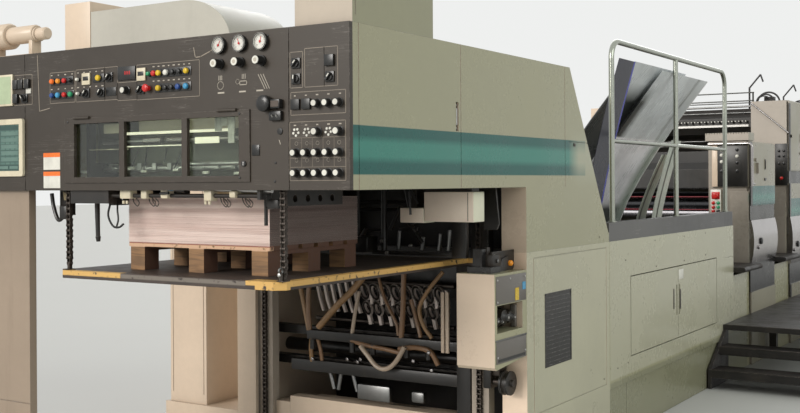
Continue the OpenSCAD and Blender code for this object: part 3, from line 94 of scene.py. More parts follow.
class Tree:
    """Adds and joins nodes in one node tree."""

    def __init__(self, tree: bpy.types.NodeTree) -> None:
        """Keeps the node tree."""
        self.tree = tree

    def link(self, source: bpy.types.NodeSocket, target: bpy.types.NodeSocket) -> None:
        """Joins an output to an input."""
        self.tree.links.new(source, target)

    def add(self, kind: str, links: Optional[dict] = None, values: Optional[dict] = None,
            **settings: object) -> bpy.types.Node:
        """Adds a node.

        Args:
            kind: The node's type without the ShaderNode prefix.
            links: Output sockets by the name or number of the input that each feeds.
            values: Fixed values by the name or number of the input.
            **settings: Attributes of the node.

        Returns:
            The new node.
        """
        node = self.tree.nodes.new("ShaderNode" + kind)
        for name, value in settings.items():
            setattr(node, name, value)
        for name, value in (values or {}).items():
            node.inputs[name].default_value = value
        for name, socket in (links or {}).items():
            self.link(socket, node.inputs[name])
        return node

    def math(self, operation: str, a: object, b: object = 0.0, clamp: bool = False) -> bpy.types.NodeSocket:
        """Adds a Math node on two sockets or numbers and returns its output."""
        node = self.add("Math", operation=operation, use_clamp=clamp)
        for i, item in enumerate((a, b)):
            if isinstance(item, (int, float)):
                node.inputs[i].default_value = item
            else:
                self.link(item, node.inputs[i])
        return node.outputs[0]

    def mix(self, factor: object, a: object, b: object) -> bpy.types.NodeSocket:
        """Mixes two colours, each a socket or a fixed colour, and returns the result."""
        node = self.add("Mix", data_type="RGBA", clamp_factor=True)
        for i, item in ((0, factor), (6, a), (7, b)):
            if isinstance(item, bpy.types.NodeSocket):
                self.link(item, node.inputs[i])
            elif isinstance(item, (int, float)):
                node.inputs[i].default_value = item
            else:
                node.inputs[i].default_value = (*item, 1.0)
        return node.outputs[2]

    def ramp(self, value: bpy.types.NodeSocket, low: float, high: float) -> bpy.types.NodeSocket:
        """Stretches the range from low to high over 0 to 1, with soft ends."""
        return self.add("MapRange", {0: value}, {1: low, 2: high}, interpolation_type="SMOOTHSTEP").outputs[0]

    def line(self, value: bpy.types.NodeSocket, factor: float, offset: float) -> bpy.types.NodeSocket:
        """Multiplies a value by a factor, adds an offset and returns the result."""
        return self.math("ADD", self.math("MULTIPLY", value, factor), offset)

    def noise(self, where: bpy.types.NodeSocket, scale: float, detail: float, **more: float) -> bpy.types.NodeSocket:
        """Adds a noise texture and returns its value; more may hold its Roughness and its Distortion."""
        return self.add("TexNoise", {"Vector": where}, {"Scale": scale, "Detail": detail, **more}).outputs[0]

    def stretched(self, where: bpy.types.NodeSocket, scale: Point) -> bpy.types.NodeSocket:
        """Multiplies a position by a factor for each axis and returns the result."""
        return self.add("Mapping", {"Vector": where}, {"Scale": scale}).outputs[0]


@dataclass(frozen=True)
class Socket:
    """One socket on the face of a node group."""

    name: str
    kind: str = "Float"
    default: object = None


class Group:
    """A shader node group with named inputs and outputs, made once."""

    made: dict[str, bpy.types.NodeTree] = {}

    def __init__(self, name: str, inputs: Sequence[Socket], outputs: Sequence[Socket]) -> None:
        """Makes the group's tree and its face.

        Args:
            name: The group's name, by which place() finds it.
            inputs: The sockets that it takes.
            outputs: The sockets that it gives.
        """
        self.tree = bpy.data.node_groups.new(name, "ShaderNodeTree")
        for in_out, sockets in (("INPUT", inputs), ("OUTPUT", outputs)):
            for socket in sockets:
                face = self.tree.interface.new_socket(
                    name=socket.name, in_out=in_out, socket_type="NodeSocket" + socket.kind)
                if socket.default is not None:
                    face.default_value = socket.default
        self.nodes = Tree(self.tree)
        self.source = self.tree.nodes.new("NodeGroupInput").outputs
        self.result = self.tree.nodes.new("NodeGroupOutput").inputs
        Group.made[name] = self.tree

    def give(self, name: str, socket: bpy.types.NodeSocket) -> None:
        """Feeds one of the group's outputs."""
        self.tree.links.new(socket, self.result[name])

    @staticmethod
    def place(nodes: Tree, name: str, **values: object) -> bpy.types.bpy_prop_collection:
        """Places a group in a material, sets its inputs and returns its outputs."""
        return nodes.add("Group", None, values, node_tree=Group.made[name]).outputs


def object_position(nodes: Tree) -> bpy.types.NodeSocket:
    """The point on the piece in its own rest coordinates."""
    return nodes.add("TexCoord").outputs["Object"]


def scaled_position(nodes: Tree, scale: bpy.types.NodeSocket) -> bpy.types.NodeSocket:
    """The point on the piece, multiplied by a scale."""
    return nodes.add("VectorMath", {0: object_position(nodes), "Scale": scale}, operation="SCALE").outputs[0]


def make_region_group() -> None:
    """A mask that is 1 inside a box and fades over a soft edge."""
    group = Group("region", [Socket("Low", "Vector"), Socket("High", "Vector"), Socket("Edge", default=0.002)],
                  [Socket("Mask")])
    n = group.nodes
    split = [n.add("SeparateXYZ", {0: s}).outputs for s in (object_position(n), group.source["Low"],
                                                            group.source["High"])]
    mask = None
    for axis in range(3):
        edge = n.math("MAXIMUM", group.source["Edge"], 0.0001)
        inside_low = n.math("DIVIDE", n.math("SUBTRACT", split[0][axis], split[1][axis]), edge)
        inside_high = n.math("DIVIDE", n.math("SUBTRACT", split[2][axis], split[0][axis]), edge)
        both = n.math("MULTIPLY", n.math("ADD", inside_low, 0.5, True), n.math("ADD", inside_high, 0.5, True))
        mask = both if mask is None else n.math("MULTIPLY", mask, both)
    group.give("Mask", mask)


def make_facing_group() -> None:
    """A mask of how far a surface faces the delivery end, through which paints take painted light on that side."""
    group = Group("facing_front", [], [Socket("Mask")])
    n = group.nodes
    normal = n.add("SeparateXYZ", {0: n.add("TexCoord").outputs["Normal"]}).outputs
    group.give("Mask", n.ramp(n.math("MULTIPLY", normal[1], -1.0), 0.3, 0.9))


def make_mottle_group() -> None:
    """Slow and fine variation that makes one paint slightly uneven."""
    group = Group("mottle", [Socket("Scale", default=1.0)], [Socket("Value")])
    n = group.nodes
    where = scaled_position(n, group.source["Scale"])
    slow = n.noise(where, 1.3, 3.0, Roughness=0.6)
    fine = n.noise(where, 23.0, 4.0, Roughness=0.7)
    both = n.math("ADD", n.math("MULTIPLY", slow, 0.7), n.math("MULTIPLY", fine, 0.3))
    group.give("Value", n.ramp(both, 0.32, 0.68))


def make_grime_and_shade_group() -> None:
    """Painted shade in corners and creases, darkening towards the floor, and dirt in faint runs and patches down the
    faces.
    """
    group = Group("grime_and_shade", [Socket("Amount", default=0.3), Socket("Reach", default=0.06),
                            Socket("Cloud", default=1.0)], [Socket("Mask")])
    n = group.nodes
    position = object_position(n)
    # Painted shade: the occlusion darkens corners, creases and recesses.
    corner = n.add("AmbientOcclusion", {"Distance": group.source["Reach"]}, samples=4)
    corner_shade = n.math("SUBTRACT", 1.0, corner.outputs["AO"], True)
    stretch = n.stretched(position, (7.0, 7.0, 0.8))
    runs = n.noise(stretch, 1.6, 5.0, Roughness=0.65)
    patches = n.noise(position, 3.4, 7.0, Roughness=0.62)
    height = n.add("SeparateXYZ", {0: position}).outputs[2]
    # Darker towards the floor, in patches.
    low = n.math("SUBTRACT", 1.0, n.ramp(height, 0.0, 0.45))
    cloud = n.math("ADD", n.math("MULTIPLY", n.ramp(runs, 0.5, 0.78), 0.35),
                   n.math("MULTIPLY", n.ramp(patches, 0.48, 0.8), 0.3))
    cloud = n.math("MULTIPLY", cloud, group.source["Cloud"])
    total = n.math("ADD", n.math("ADD", cloud, n.math("MULTIPLY", corner_shade, 1.1)),
                   n.math("MULTIPLY", n.math("MULTIPLY", low, patches), 0.8))
    group.give("Mask", n.math("MULTIPLY", total, group.source["Amount"], True))


def make_wear_group() -> None:
    """Chipped and rubbed edges, found by comparing a rounded normal with the true one."""
    group = Group("edge_wear", [Socket("Amount", default=0.5), Socket("Radius", default=0.004)], [Socket("Mask")])
    n = group.nodes
    bevel = n.add("Bevel", {"Radius": group.source["Radius"]}, samples=4)
    true = n.add("NewGeometry").outputs["Normal"]
    same = n.add("VectorMath", {0: bevel.outputs[0], 1: true}, operation="DOT_PRODUCT").outputs["Value"]
    edge = n.math("SUBTRACT", 1.0, n.ramp(same, 0.80, 0.985))
    chips = n.noise(object_position(n), 34.0, 5.0, Roughness=0.7)
    broken = n.ramp(chips, 0.46, 0.60)
    group.give("Mask", n.math("MULTIPLY", n.math("MULTIPLY", edge, broken), group.source["Amount"], True))


def make_scratch_group() -> None:
    """Fine pale scratches in two directions."""
    group = Group("scratches", [Socket("Amount", default=0.5), Socket("Scale", default=1.0)], [Socket("Mask")])
    n = group.nodes
    scaled = scaled_position(n, group.source["Scale"])
    total = None
    for turn, stretch in ((0.5, (2.0, 2.0, 48.0)), (1.2, (3.0, 3.0, 60.0)), (-0.35, (1.2, 1.2, 70.0))):
        place = n.add("Mapping", {"Vector": scaled}, {"Rotation": (turn, turn * 0.7, 0.3),
                                                              "Scale": stretch})
        lines = n.noise(place.outputs[0], 1.0, 2.0)
        thin = n.ramp(n.math("ABSOLUTE", n.math("SUBTRACT", lines, 0.5)), 0.006, 0.0)
        total = thin if total is None else n.math("MAXIMUM", total, thin)
    where = n.noise(scaled, 6.0, 3.0)
    patchy = n.math("MULTIPLY", total, n.ramp(where, 0.5, 0.72))
    group.give("Mask", n.math("MULTIPLY", patchy, group.source["Amount"], True))


def make_brushed_group() -> None:
    """Fine lines along one direction, as a height and as a value for roughness."""
    group = Group("brushed", [Socket("Stretch", "Vector", (200.0, 200.0, 4.0))], [Socket("Height"), Socket("Value")])
    n = group.nodes
    place = n.add("VectorMath", {0: object_position(n), 1: group.source["Stretch"]}, operation="MULTIPLY")
    lines = n.noise(place.outputs[0], 1.0, 4.0, Roughness=0.7)
    cloud = n.noise(object_position(n), 5.0, 4.0)
    group.give("Height", lines)
    group.give("Value", n.math("ADD", n.math("MULTIPLY", lines, 0.35),
                               n.math("MULTIPLY", cloud, 0.65)))


def make_relief_group() -> None:
    """The slight orange peel and dents of painted sheet metal."""
    group = Group("paint_relief", [Socket("Peel", default=0.5)], [Socket("Height")])
    n = group.nodes
    position = object_position(n)
    peel = n.noise(position, 220.0, 2.0)
    wave = n.noise(position, 2.2, 2.0)
    group.give("Height", n.math("ADD", n.math("MULTIPLY", peel, n.math("MULTIPLY", group.source["Peel"],
                                                                                 0.05)),
                                n.math("MULTIPLY", wave, 0.9)))


def make_node_groups() -> None:
    """Makes every shared effect once."""
    make_region_group()
    make_facing_group()
    make_mottle_group()
    make_grime_and_shade_group()
    make_wear_group()
    make_scratch_group()
    make_brushed_group()
    make_relief_group()


# Finishes


@dataclass(frozen=True)
class Band:
    """A box on the machine inside which a paint has another colour."""

    low: Point
    high: Point
    colour: Colour
    edge: float = 0.002

    @classmethod
    def side(cls, y: tuple[float, float], z: tuple[float, float], colour: Colour, edge: float = 0.002,
             inner: float = 0.9) -> "Band":
        """A band on the operator side, given by its reach along the machine and in height."""
        return cls((inner, y[0], z[0]), (HALF_WIDTH + 0.1, y[1], z[1]), colour, edge)


def darker(colour: Colour, factor: float) -> Colour:
    """A colour times a factor."""
    return tuple(c * factor for c in colour)


def shader(name: str, **values: object) -> tuple[bpy.types.Material, Tree, bpy.types.Node]:
    """Makes a material with a Principled shader.

    Args:
        name: The material's name.
        **values: Fixed values, where an underscore stands for a space in the socket's name.

    Returns:
        The material, its tree and its shader.
    """
    material = bpy.data.materials.new(name)
    material.use_nodes = True
    tree = Tree(material.node_tree)
    node = material.node_tree.nodes["Principled BSDF"]
    for key, value in values.items():
        node.inputs[key.replace("_", " ")].default_value = value
    return material, tree, node


def bump(tree: Tree, node: bpy.types.Node, height: bpy.types.NodeSocket, strength: float, distance: float,
         rounding: float = 0.0) -> None:
    """Feeds a height to a shader's normal, over edges that look rounded where rounding is above 0."""
    relief = tree.add("Bump", {"Height": height}, {"Strength": strength, "Distance": distance})
    if rounding:
        soft = tree.add("Bevel", values={"Radius": rounding}, samples=4)
        tree.link(soft.outputs[0], relief.inputs["Normal"])
    tree.link(relief.outputs[0], node.inputs["Normal"])


def band_mask(tree: Tree, band: Band) -> bpy.types.NodeSocket:
    """A mask of what lies inside a band."""
    return Group.place(tree, "region", Low=DATUM.at(band.low), High=DATUM.at(band.high), Edge=band.edge)["Mask"]


def with_bands(tree: Tree, colour: object, bands: Sequence[Band]) -> object:
    """Lays the colours of the bands over a colour, which is a socket or fixed, and returns the result."""
    for band in bands:
        colour = tree.mix(band_mask(tree, band), colour, band.colour)
    return colour


def side_shade_mask(tree: Tree, reach: float = 0.6) -> bpy.types.NodeSocket:
    """A mask of how far a surface faces the operator side, used to paint shade there."""
    normal = tree.add("SeparateXYZ", {0: tree.add("TexCoord").outputs["Normal"]}).outputs
    return tree.ramp(normal[0], reach - 0.2, reach + 0.2)


@dataclass(frozen=True)
class Paint:
    """A coat of paint on sheet metal."""

    name: str
    colour: Colour
    front_tone_and_light: Optional[Colour] = None
    bands: tuple[Band, ...] = ()
    roughness: float = 0.38
    grime_and_shade: float = 0.3
    grime_and_shade_colour: Colour = (0.06, 0.045, 0.03)
    wear: float = 0.35
    wear_colour: Colour = (0.42, 0.40, 0.37)
    scratches: float = 0.0
    mottle: float = 0.10
    cloud: float = 1.0

    def build(self) -> bpy.types.Material:
        """Makes the material."""
        material, tree, node = shader(self.name, Specular_IOR_Level=0.45)
        colour: object = self.colour
        # Faces towards the delivery end take a lighter front colour: partly the paint's front tone, partly painted
        # light where the light falls.
        if self.front_tone_and_light:
            colour = tree.mix(Group.place(tree, "facing_front")["Mask"], self.colour, self.front_tone_and_light)
        colour = with_bands(tree, colour, self.bands)
        uneven = Group.place(tree, "mottle")["Value"]
        dark = tree.add("HueSaturation", {"Color": colour} if isinstance(colour, bpy.types.NodeSocket) else {},
                        {"Value": 1.0 - self.mottle})
        if not isinstance(colour, bpy.types.NodeSocket):
            dark.inputs["Color"].default_value = (*colour, 1.0)
        colour = tree.mix(uneven, dark.outputs[0], colour)
        if self.scratches:
            marks = Group.place(tree, "scratches", Amount=self.scratches)["Mask"]
            colour = tree.mix(marks, colour, self.wear_colour)
        # Painted shade in corners and creases, mixed with dirt runs and patches, darkens the paint.
        dirt_and_shade = Group.place(tree, "grime_and_shade", Amount=self.grime_and_shade, Cloud=self.cloud)["Mask"]
        colour = tree.mix(dirt_and_shade, colour, self.grime_and_shade_colour)
        worn = Group.place(tree, "edge_wear", Amount=self.wear)["Mask"]
        colour = tree.mix(worn, colour, self.wear_colour)
        tree.link(colour, node.inputs["Base Color"])
        rough = tree.line(uneven, 0.16, self.roughness - 0.08)
        tree.link(tree.math("ADD", rough, tree.math("MULTIPLY", dirt_and_shade, 0.3), True), node.inputs["Roughness"])
        relief = Group.place(tree, "paint_relief")["Height"]
        bump(tree, node, relief, 0.25, 0.004, 0.003)
        return material


@dataclass(frozen=True)
class Metal:
    """Bare, plated or cast metal."""

    name: str
    colour: Colour
    roughness: float = 0.3
    stretch: Point = (8.0, 8.0, 300.0)
    relief: float = 0.15
    dirt_and_shade: float = 0.3
    dirt_and_shade_colour: Colour = (0.05, 0.04, 0.03)
    metallic: float = 1.0
    bands: tuple[Band, ...] = ()

    def build(self) -> bpy.types.Material:
        """Makes the material."""
        material, tree, node = shader(self.name, Metallic=self.metallic)
        lines = Group.place(tree, "brushed", Stretch=self.stretch)
        # Painted shade in corners and creases, mixed with dirt runs and patches.
        dirt_and_shade = Group.place(tree, "grime_and_shade", Amount=self.dirt_and_shade, Reach=0.03)["Mask"]
        deep = darker(self.colour, 0.72)
        colour = with_bands(tree, tree.mix(lines["Value"], deep, self.colour), self.bands)
        colour = tree.mix(dirt_and_shade, colour, self.dirt_and_shade_colour)
        tree.link(colour, node.inputs["Base Color"])
        rough = tree.line(lines["Value"], 0.25, self.roughness - 0.12)
        tree.link(tree.math("ADD", rough, tree.math("MULTIPLY", dirt_and_shade, 0.4), True), node.inputs["Roughness"])
        bump(tree, node, lines["Height"], self.relief, 0.002, 0.002)
        return material


@dataclass(frozen=True)
class Plastic:
    """Moulded plastic or rubber, with a faint grain."""

    name: str
    colour: Colour
    roughness: float = 0.35
    grain: float = 0.1
    glow: float = 0.0

    def build(self) -> bpy.types.Material:
        """Makes the material."""
        material, tree, node = shader(self.name)
        uneven = Group.place(tree, "mottle", Scale=8.0)["Value"]
        # Painted shade in corners and creases, mixed with dirt runs and patches.
        dirt_and_shade = Group.place(tree, "grime_and_shade", Amount=0.3, Reach=0.01)["Mask"]
        deep = darker(self.colour, 0.8)
        colour = tree.mix(uneven, deep, self.colour)
        tree.link(tree.mix(dirt_and_shade, colour, (0.03, 0.025, 0.02)), node.inputs["Base Color"])
        rough = tree.line(uneven, 0.14, self.roughness - 0.07)
        tree.link(rough, node.inputs["Roughness"])
        speck = tree.noise(object_position(tree), 900.0, 2.0)
        bump(tree, node, speck, self.grain, 0.001)
        if self.glow:
            node.inputs["Emission Color"].default_value = (*self.colour, 1.0)
            node.inputs["Emission Strength"].default_value = self.glow
        return material


@dataclass(frozen=True)
class Glass:
    """A clear pane with smears."""

    name: str
    colour: Colour
    roughness: float = 0.04

    def build(self) -> bpy.types.Material:
        """Makes the material."""
        material, tree, node = shader(self.name, Transmission_Weight=1.0, IOR=1.45)
        smear = tree.stretched(object_position(tree), (3.0, 3.0, 9.0))
        cloud = tree.noise(smear, 2.0, 6.0)
        streak = tree.ramp(cloud, 0.42, 0.75)
        tree.link(tree.mix(streak, self.colour, darker(self.colour, 0.93)),
                            node.inputs["Base Color"])
        tree.link(tree.line(streak, 0.1, self.roughness),
                            node.inputs["Roughness"])
        return material


@dataclass(frozen=True)
class Wood:
    """Boards with grain, stains and worn or painted borders, and painted shade on faces towards the operator side."""

    name: str
    colour: Colour
    stretch: Point = (2.0, 24.0, 24.0)
    stain: float = 0.5
    roughness: float = 0.7
    bands: tuple[Band, ...] = ()
    shaded_side_colour: Optional[Colour] = None

    def build(self) -> bpy.types.Material:
        """Makes the material."""
        material, tree, node = shader(self.name)
        place = tree.stretched(object_position(tree), self.stretch)
        grain = tree.noise(place, 2.2, 8.0, Distortion=1.2)
        rings = tree.ramp(grain, 0.35, 0.65)
        colour = tree.mix(rings, darker(self.colour, 0.55), self.colour)
        cloud = tree.noise(object_position(tree), 4.0, 6.0)
        marks = tree.math("MULTIPLY", tree.ramp(cloud, 0.45, 0.7), self.stain)
        colour = tree.mix(marks, colour, darker(self.colour, 0.35))
        if self.shaded_side_colour:
            # Painted shade on faces towards the operator side.
            colour = tree.mix(tree.math("MULTIPLY", side_shade_mask(tree), 0.9), colour, self.shaded_side_colour)
        for band in self.bands:
            inside = band_mask(tree, band)
            chips = tree.noise(object_position(tree), 40.0, 5.0)
            kept = tree.math("MULTIPLY", inside, tree.ramp(chips, 0.30, 0.42))
            colour = tree.mix(kept, colour, band.colour)
        tree.link(colour, node.inputs["Base Color"])
        rough = tree.line(rings, 0.15, self.roughness - 0.1)
        tree.link(rough, node.inputs["Roughness"])
        bump(tree, node, grain, 0.5, 0.003, 0.003)
        return material


@dataclass(frozen=True)
class Paper:
    """The side of a pile of sheets: thin lines, soft bands and uneven edges, and painted shade on faces towards the
    operator side.
    """

    name: str
    colour: Colour
    band_colour: Colour
    sheet_lines: float = 900.0
    shaded_side_colour: Optional[Colour] = None

    def build(self) -> bpy.types.Material:
        """Makes the material."""
        material, tree, node = shader(self.name, Roughness=0.75)
        position = object_position(tree)
        thin = tree.stretched(position, (1.5, 1.5, self.sheet_lines))
        lines = tree.noise(thin, 1.0, 3.0, Roughness=0.8)
        wide = tree.stretched(position, (0.6, 0.6, 46.0))
        bands = tree.noise(wide, 1.0, 4.0, Roughness=0.7)
        colour = tree.mix(tree.ramp(bands, 0.38, 0.66), self.colour, self.band_colour)
        colour = tree.mix(tree.math("MULTIPLY", tree.ramp(lines, 0.5, 0.72), 0.35), colour,
                          darker(self.colour, 0.45))
        if self.shaded_side_colour:
            # Painted shade on faces towards the operator side.
            colour = tree.mix(tree.math("MULTIPLY", side_shade_mask(tree), 0.85), colour, self.shaded_side_colour)
        tree.link(colour, node.inputs["Base Color"])
        bump(tree, node, lines, 0.6, 0.002)
        return material


@dataclass(frozen=True)
class Screen:
    """A lit display with plain blocks of colour."""

    name: str
    colour: Colour
    block_colour: Colour
    glow: float = 0.35

    def build(self) -> bpy.types.Material:
        """Makes the material."""
        material, tree, node = shader(self.name, Roughness=0.12, Emission_Strength=self.glow)
        place = tree.stretched(object_position(tree), (14.0, 1.0, 18.0))
        cells = tree.add("TexBrick", {"Vector": tree.add("CombineXYZ", {
            0: tree.add("SeparateXYZ", {0: place}).outputs[0],
            1: tree.add("SeparateXYZ", {0: place}).outputs[2]}).outputs[0]},
            {"Scale": 1.0, "Mortar Size": 0.05, "Color1": (*self.colour, 1.0), "Color2": (*self.block_colour, 1.0),
             "Mortar": (*darker(self.colour, 0.7), 1.0)}, offset=0.0)
        tree.link(cells.outputs[0], node.inputs["Base Color"])
        tree.link(cells.outputs[0], node.inputs["Emission Color"])
        return material


@dataclass(frozen=True)
class BareSheet:
    """Thin rolled sheet metal with cloudy stains, each sheet with its own tone, some of the tones being painted
    reflections and painted shade.
    """

    name: str
    colour: Colour
    bands: tuple[Band, ...]
    roughness: float = 0.28
    metallic: float = 0.12

    def build(self) -> bpy.types.Material:
        """Makes the material."""
        material, tree, node = shader(self.name, Metallic=self.metallic)
        lines = Group.place(tree, "brushed", Stretch=(5.0, 60.0, 5.0))
        colour = with_bands(tree, self.colour, self.bands)
        cloud = tree.noise(object_position(tree), 2.4, 3.0, Distortion=0.8)
        deep = tree.add("HueSaturation", {"Color": colour}, {"Value": 0.72})
        colour = tree.mix(tree.math("MULTIPLY", tree.ramp(cloud, 0.42, 0.68), 0.7), colour, deep.outputs[0])
        tree.link(colour, node.inputs["Base Color"])
        rough = tree.line(lines["Value"], 0.2, self.roughness - 0.1)
        tree.link(rough, node.inputs["Roughness"])
        bump(tree, node, lines["Height"], 0.02, 0.001)
        return material


@dataclass(frozen=True)
class Tread:
    """Dark walkway plate with raised studs, scuffs and dust."""

    name: str
    colour: Colour
    dust: Colour = (0.22, 0.19, 0.16)

    def build(self) -> bpy.types.Material:
        """Makes the material."""
        material, tree, node = shader(self.name)
        position = object_position(tree)
        studs = tree.add("TexVoronoi", {"Vector": position}, {"Scale": 42.0, "Randomness": 0.15})
        raised = tree.math("SUBTRACT", 1.0, tree.ramp(studs.outputs["Distance"], 0.2, 0.42))
        scuff = tree.noise(position, 5.0, 8.0, Roughness=0.65)
        dusty = tree.ramp(scuff, 0.42, 0.72)
        colour = tree.mix(tree.math("MULTIPLY", dusty, 0.7), self.colour, self.dust)
        worn = Group.place(tree, "edge_wear", Amount=0.8, Radius=0.006)["Mask"]
        colour = tree.mix(worn, colour, (0.30, 0.27, 0.24))
        tree.link(colour, node.inputs["Base Color"])
        tree.link(tree.line(dusty, 0.35, 0.42), node.inputs["Roughness"])
        bump(tree, node, raised, 0.35, 0.002, 0.004)
        return material


CREAM_TONE: Colour = (0.72, 0.575, 0.44)
GREEN_GREY_TONE: Colour = (0.375, 0.360, 0.225)
PANEL_TONE: Colour = (0.039, 0.029, 0.020)
TEAL_DARK: Colour = (0.001, 0.098, 0.082)
TEAL_PALE: Colour = (0.040, 0.230, 0.180)
TEAL_DEEP: Colour = (0.012, 0.115, 0.105)
BLACK_TONE: Colour = (0.012, 0.011, 0.010)
FOOT_TONE: Colour = (0.020, 0.020, 0.021)
EDGE_YELLOW: Colour = (0.66, 0.40, 0.12)


def stripe_bands() -> tuple[Band, ...]:
    """The teal stripe along the delivery cover: dark borders, a pale middle, and a pale painted reflection over its
    rear end.
    """
    low, high, end = 1.575, 1.768, 2.30
    return (
        Band.side((-1.0, end), (low, high), TEAL_DARK, 0.003),
        Band.side((-1.0, end), (low + 0.058, high - 0.052), TEAL_PALE, 0.028),
        # Painted reflection: the stripe's rear end is painted pale where light glints on the glossy cover.
        Band.side((end - 0.16, end + 0.30), (low + 0.004, high - 0.004), (0.42, 0.42, 0.30), 0.14),
    )


def tower_bands() -> tuple[Band, ...]:
    """The bands and dark gaps of the operator side housings, those of the low unit and of the printing units."""
    skin = HALF_WIDTH - 0.01
    low_unit, units = (0.0, 7.0), (7.0, FAR)
    bands = [
        Band.side(low_unit, (1.328, 1.494), TEAL_DEEP, 0.004, skin),
        Band.side(low_unit, (1.365, 1.425), TEAL_PALE, 0.04, skin),
        Band.side(low_unit, (1.206, 1.328), BLACK_TONE, 0.003, skin),
        Band.side(low_unit, (0.603, 0.845), FOOT_TONE, 0.003),
        Band.side((5.7, 5.885), (0.60, 1.90), BLACK_TONE, 0.004, skin),
        Band.side(units, (1.195, 1.366), TEAL_DEEP, 0.004, skin),
        Band.side(units, (1.225, 1.28), TEAL_PALE, 0.04, skin),
        Band.side(units, (1.510, 1.627), BLACK_TONE, 0.003, skin - 0.006),
        Band.side(units, (0.555, 0.75), FOOT_TONE, 0.003),
    ]
    for i in range(UNIT_COUNT):
        front = 7.1 + i * UNIT_PITCH
        bands.append(Band.side((front, front + 0.18), (0.43, 2.27), BLACK_TONE, 0.004, skin))
    return tuple(bands)


def sheet_bands() -> tuple[Band, ...]:
    """The tones of the bare sheets behind the rail, from the dark one at the delivery to the bright strips, with
    painted shade on the sheet behind the front plate and a bright and a dark painted reflection on the front plate.
    """
    left, front, strips, top = 3.255, 3.757, 4.80, 3.0
    rows = (
        ((0.0, left), (0.0, top), (0.006, 0.007, 0.024), 0.002),
        ((3.206, 3.240), (0.0, top), (0.035, 0.04, 0.42), 0.004),
        # Painted shade on the sheet behind the front plate, below its top.
        ((left, front + 0.12), (0.0, 2.14), (0.030, 0.034, 0.031), 0.12),
        # Painted reflection: the front plate's lower part is painted near white.
        ((front, strips), (0.0, 1.85), (1.0, 0.98, 1.0), 0.012),
        # Painted reflection: the front plate's foot is painted dark.
        ((front, strips), (0.0, 1.36), (0.045, 0.052, 0.045), 0.06),
        ((4.56, 4.60), (1.84, 2.40), (0.36, 0.37, 0.36), 0.05),
        ((4.60, strips), (0.0, 1.86), (0.30, 0.35, 0.30), 0.16),
        ((4.768, strips), (0.0, top), (0.85, 0.85, 0.82), 0.004),
        ((strips, 5.2), (0.0, top), (0.66, 0.70, 0.62), 0.002),
        ((4.90, 4.93), (0.0, top), (0.045, 0.05, 0.045), 0.02),
    )
    return tuple(Band.side(*row, inner=-1.0) for row in rows)


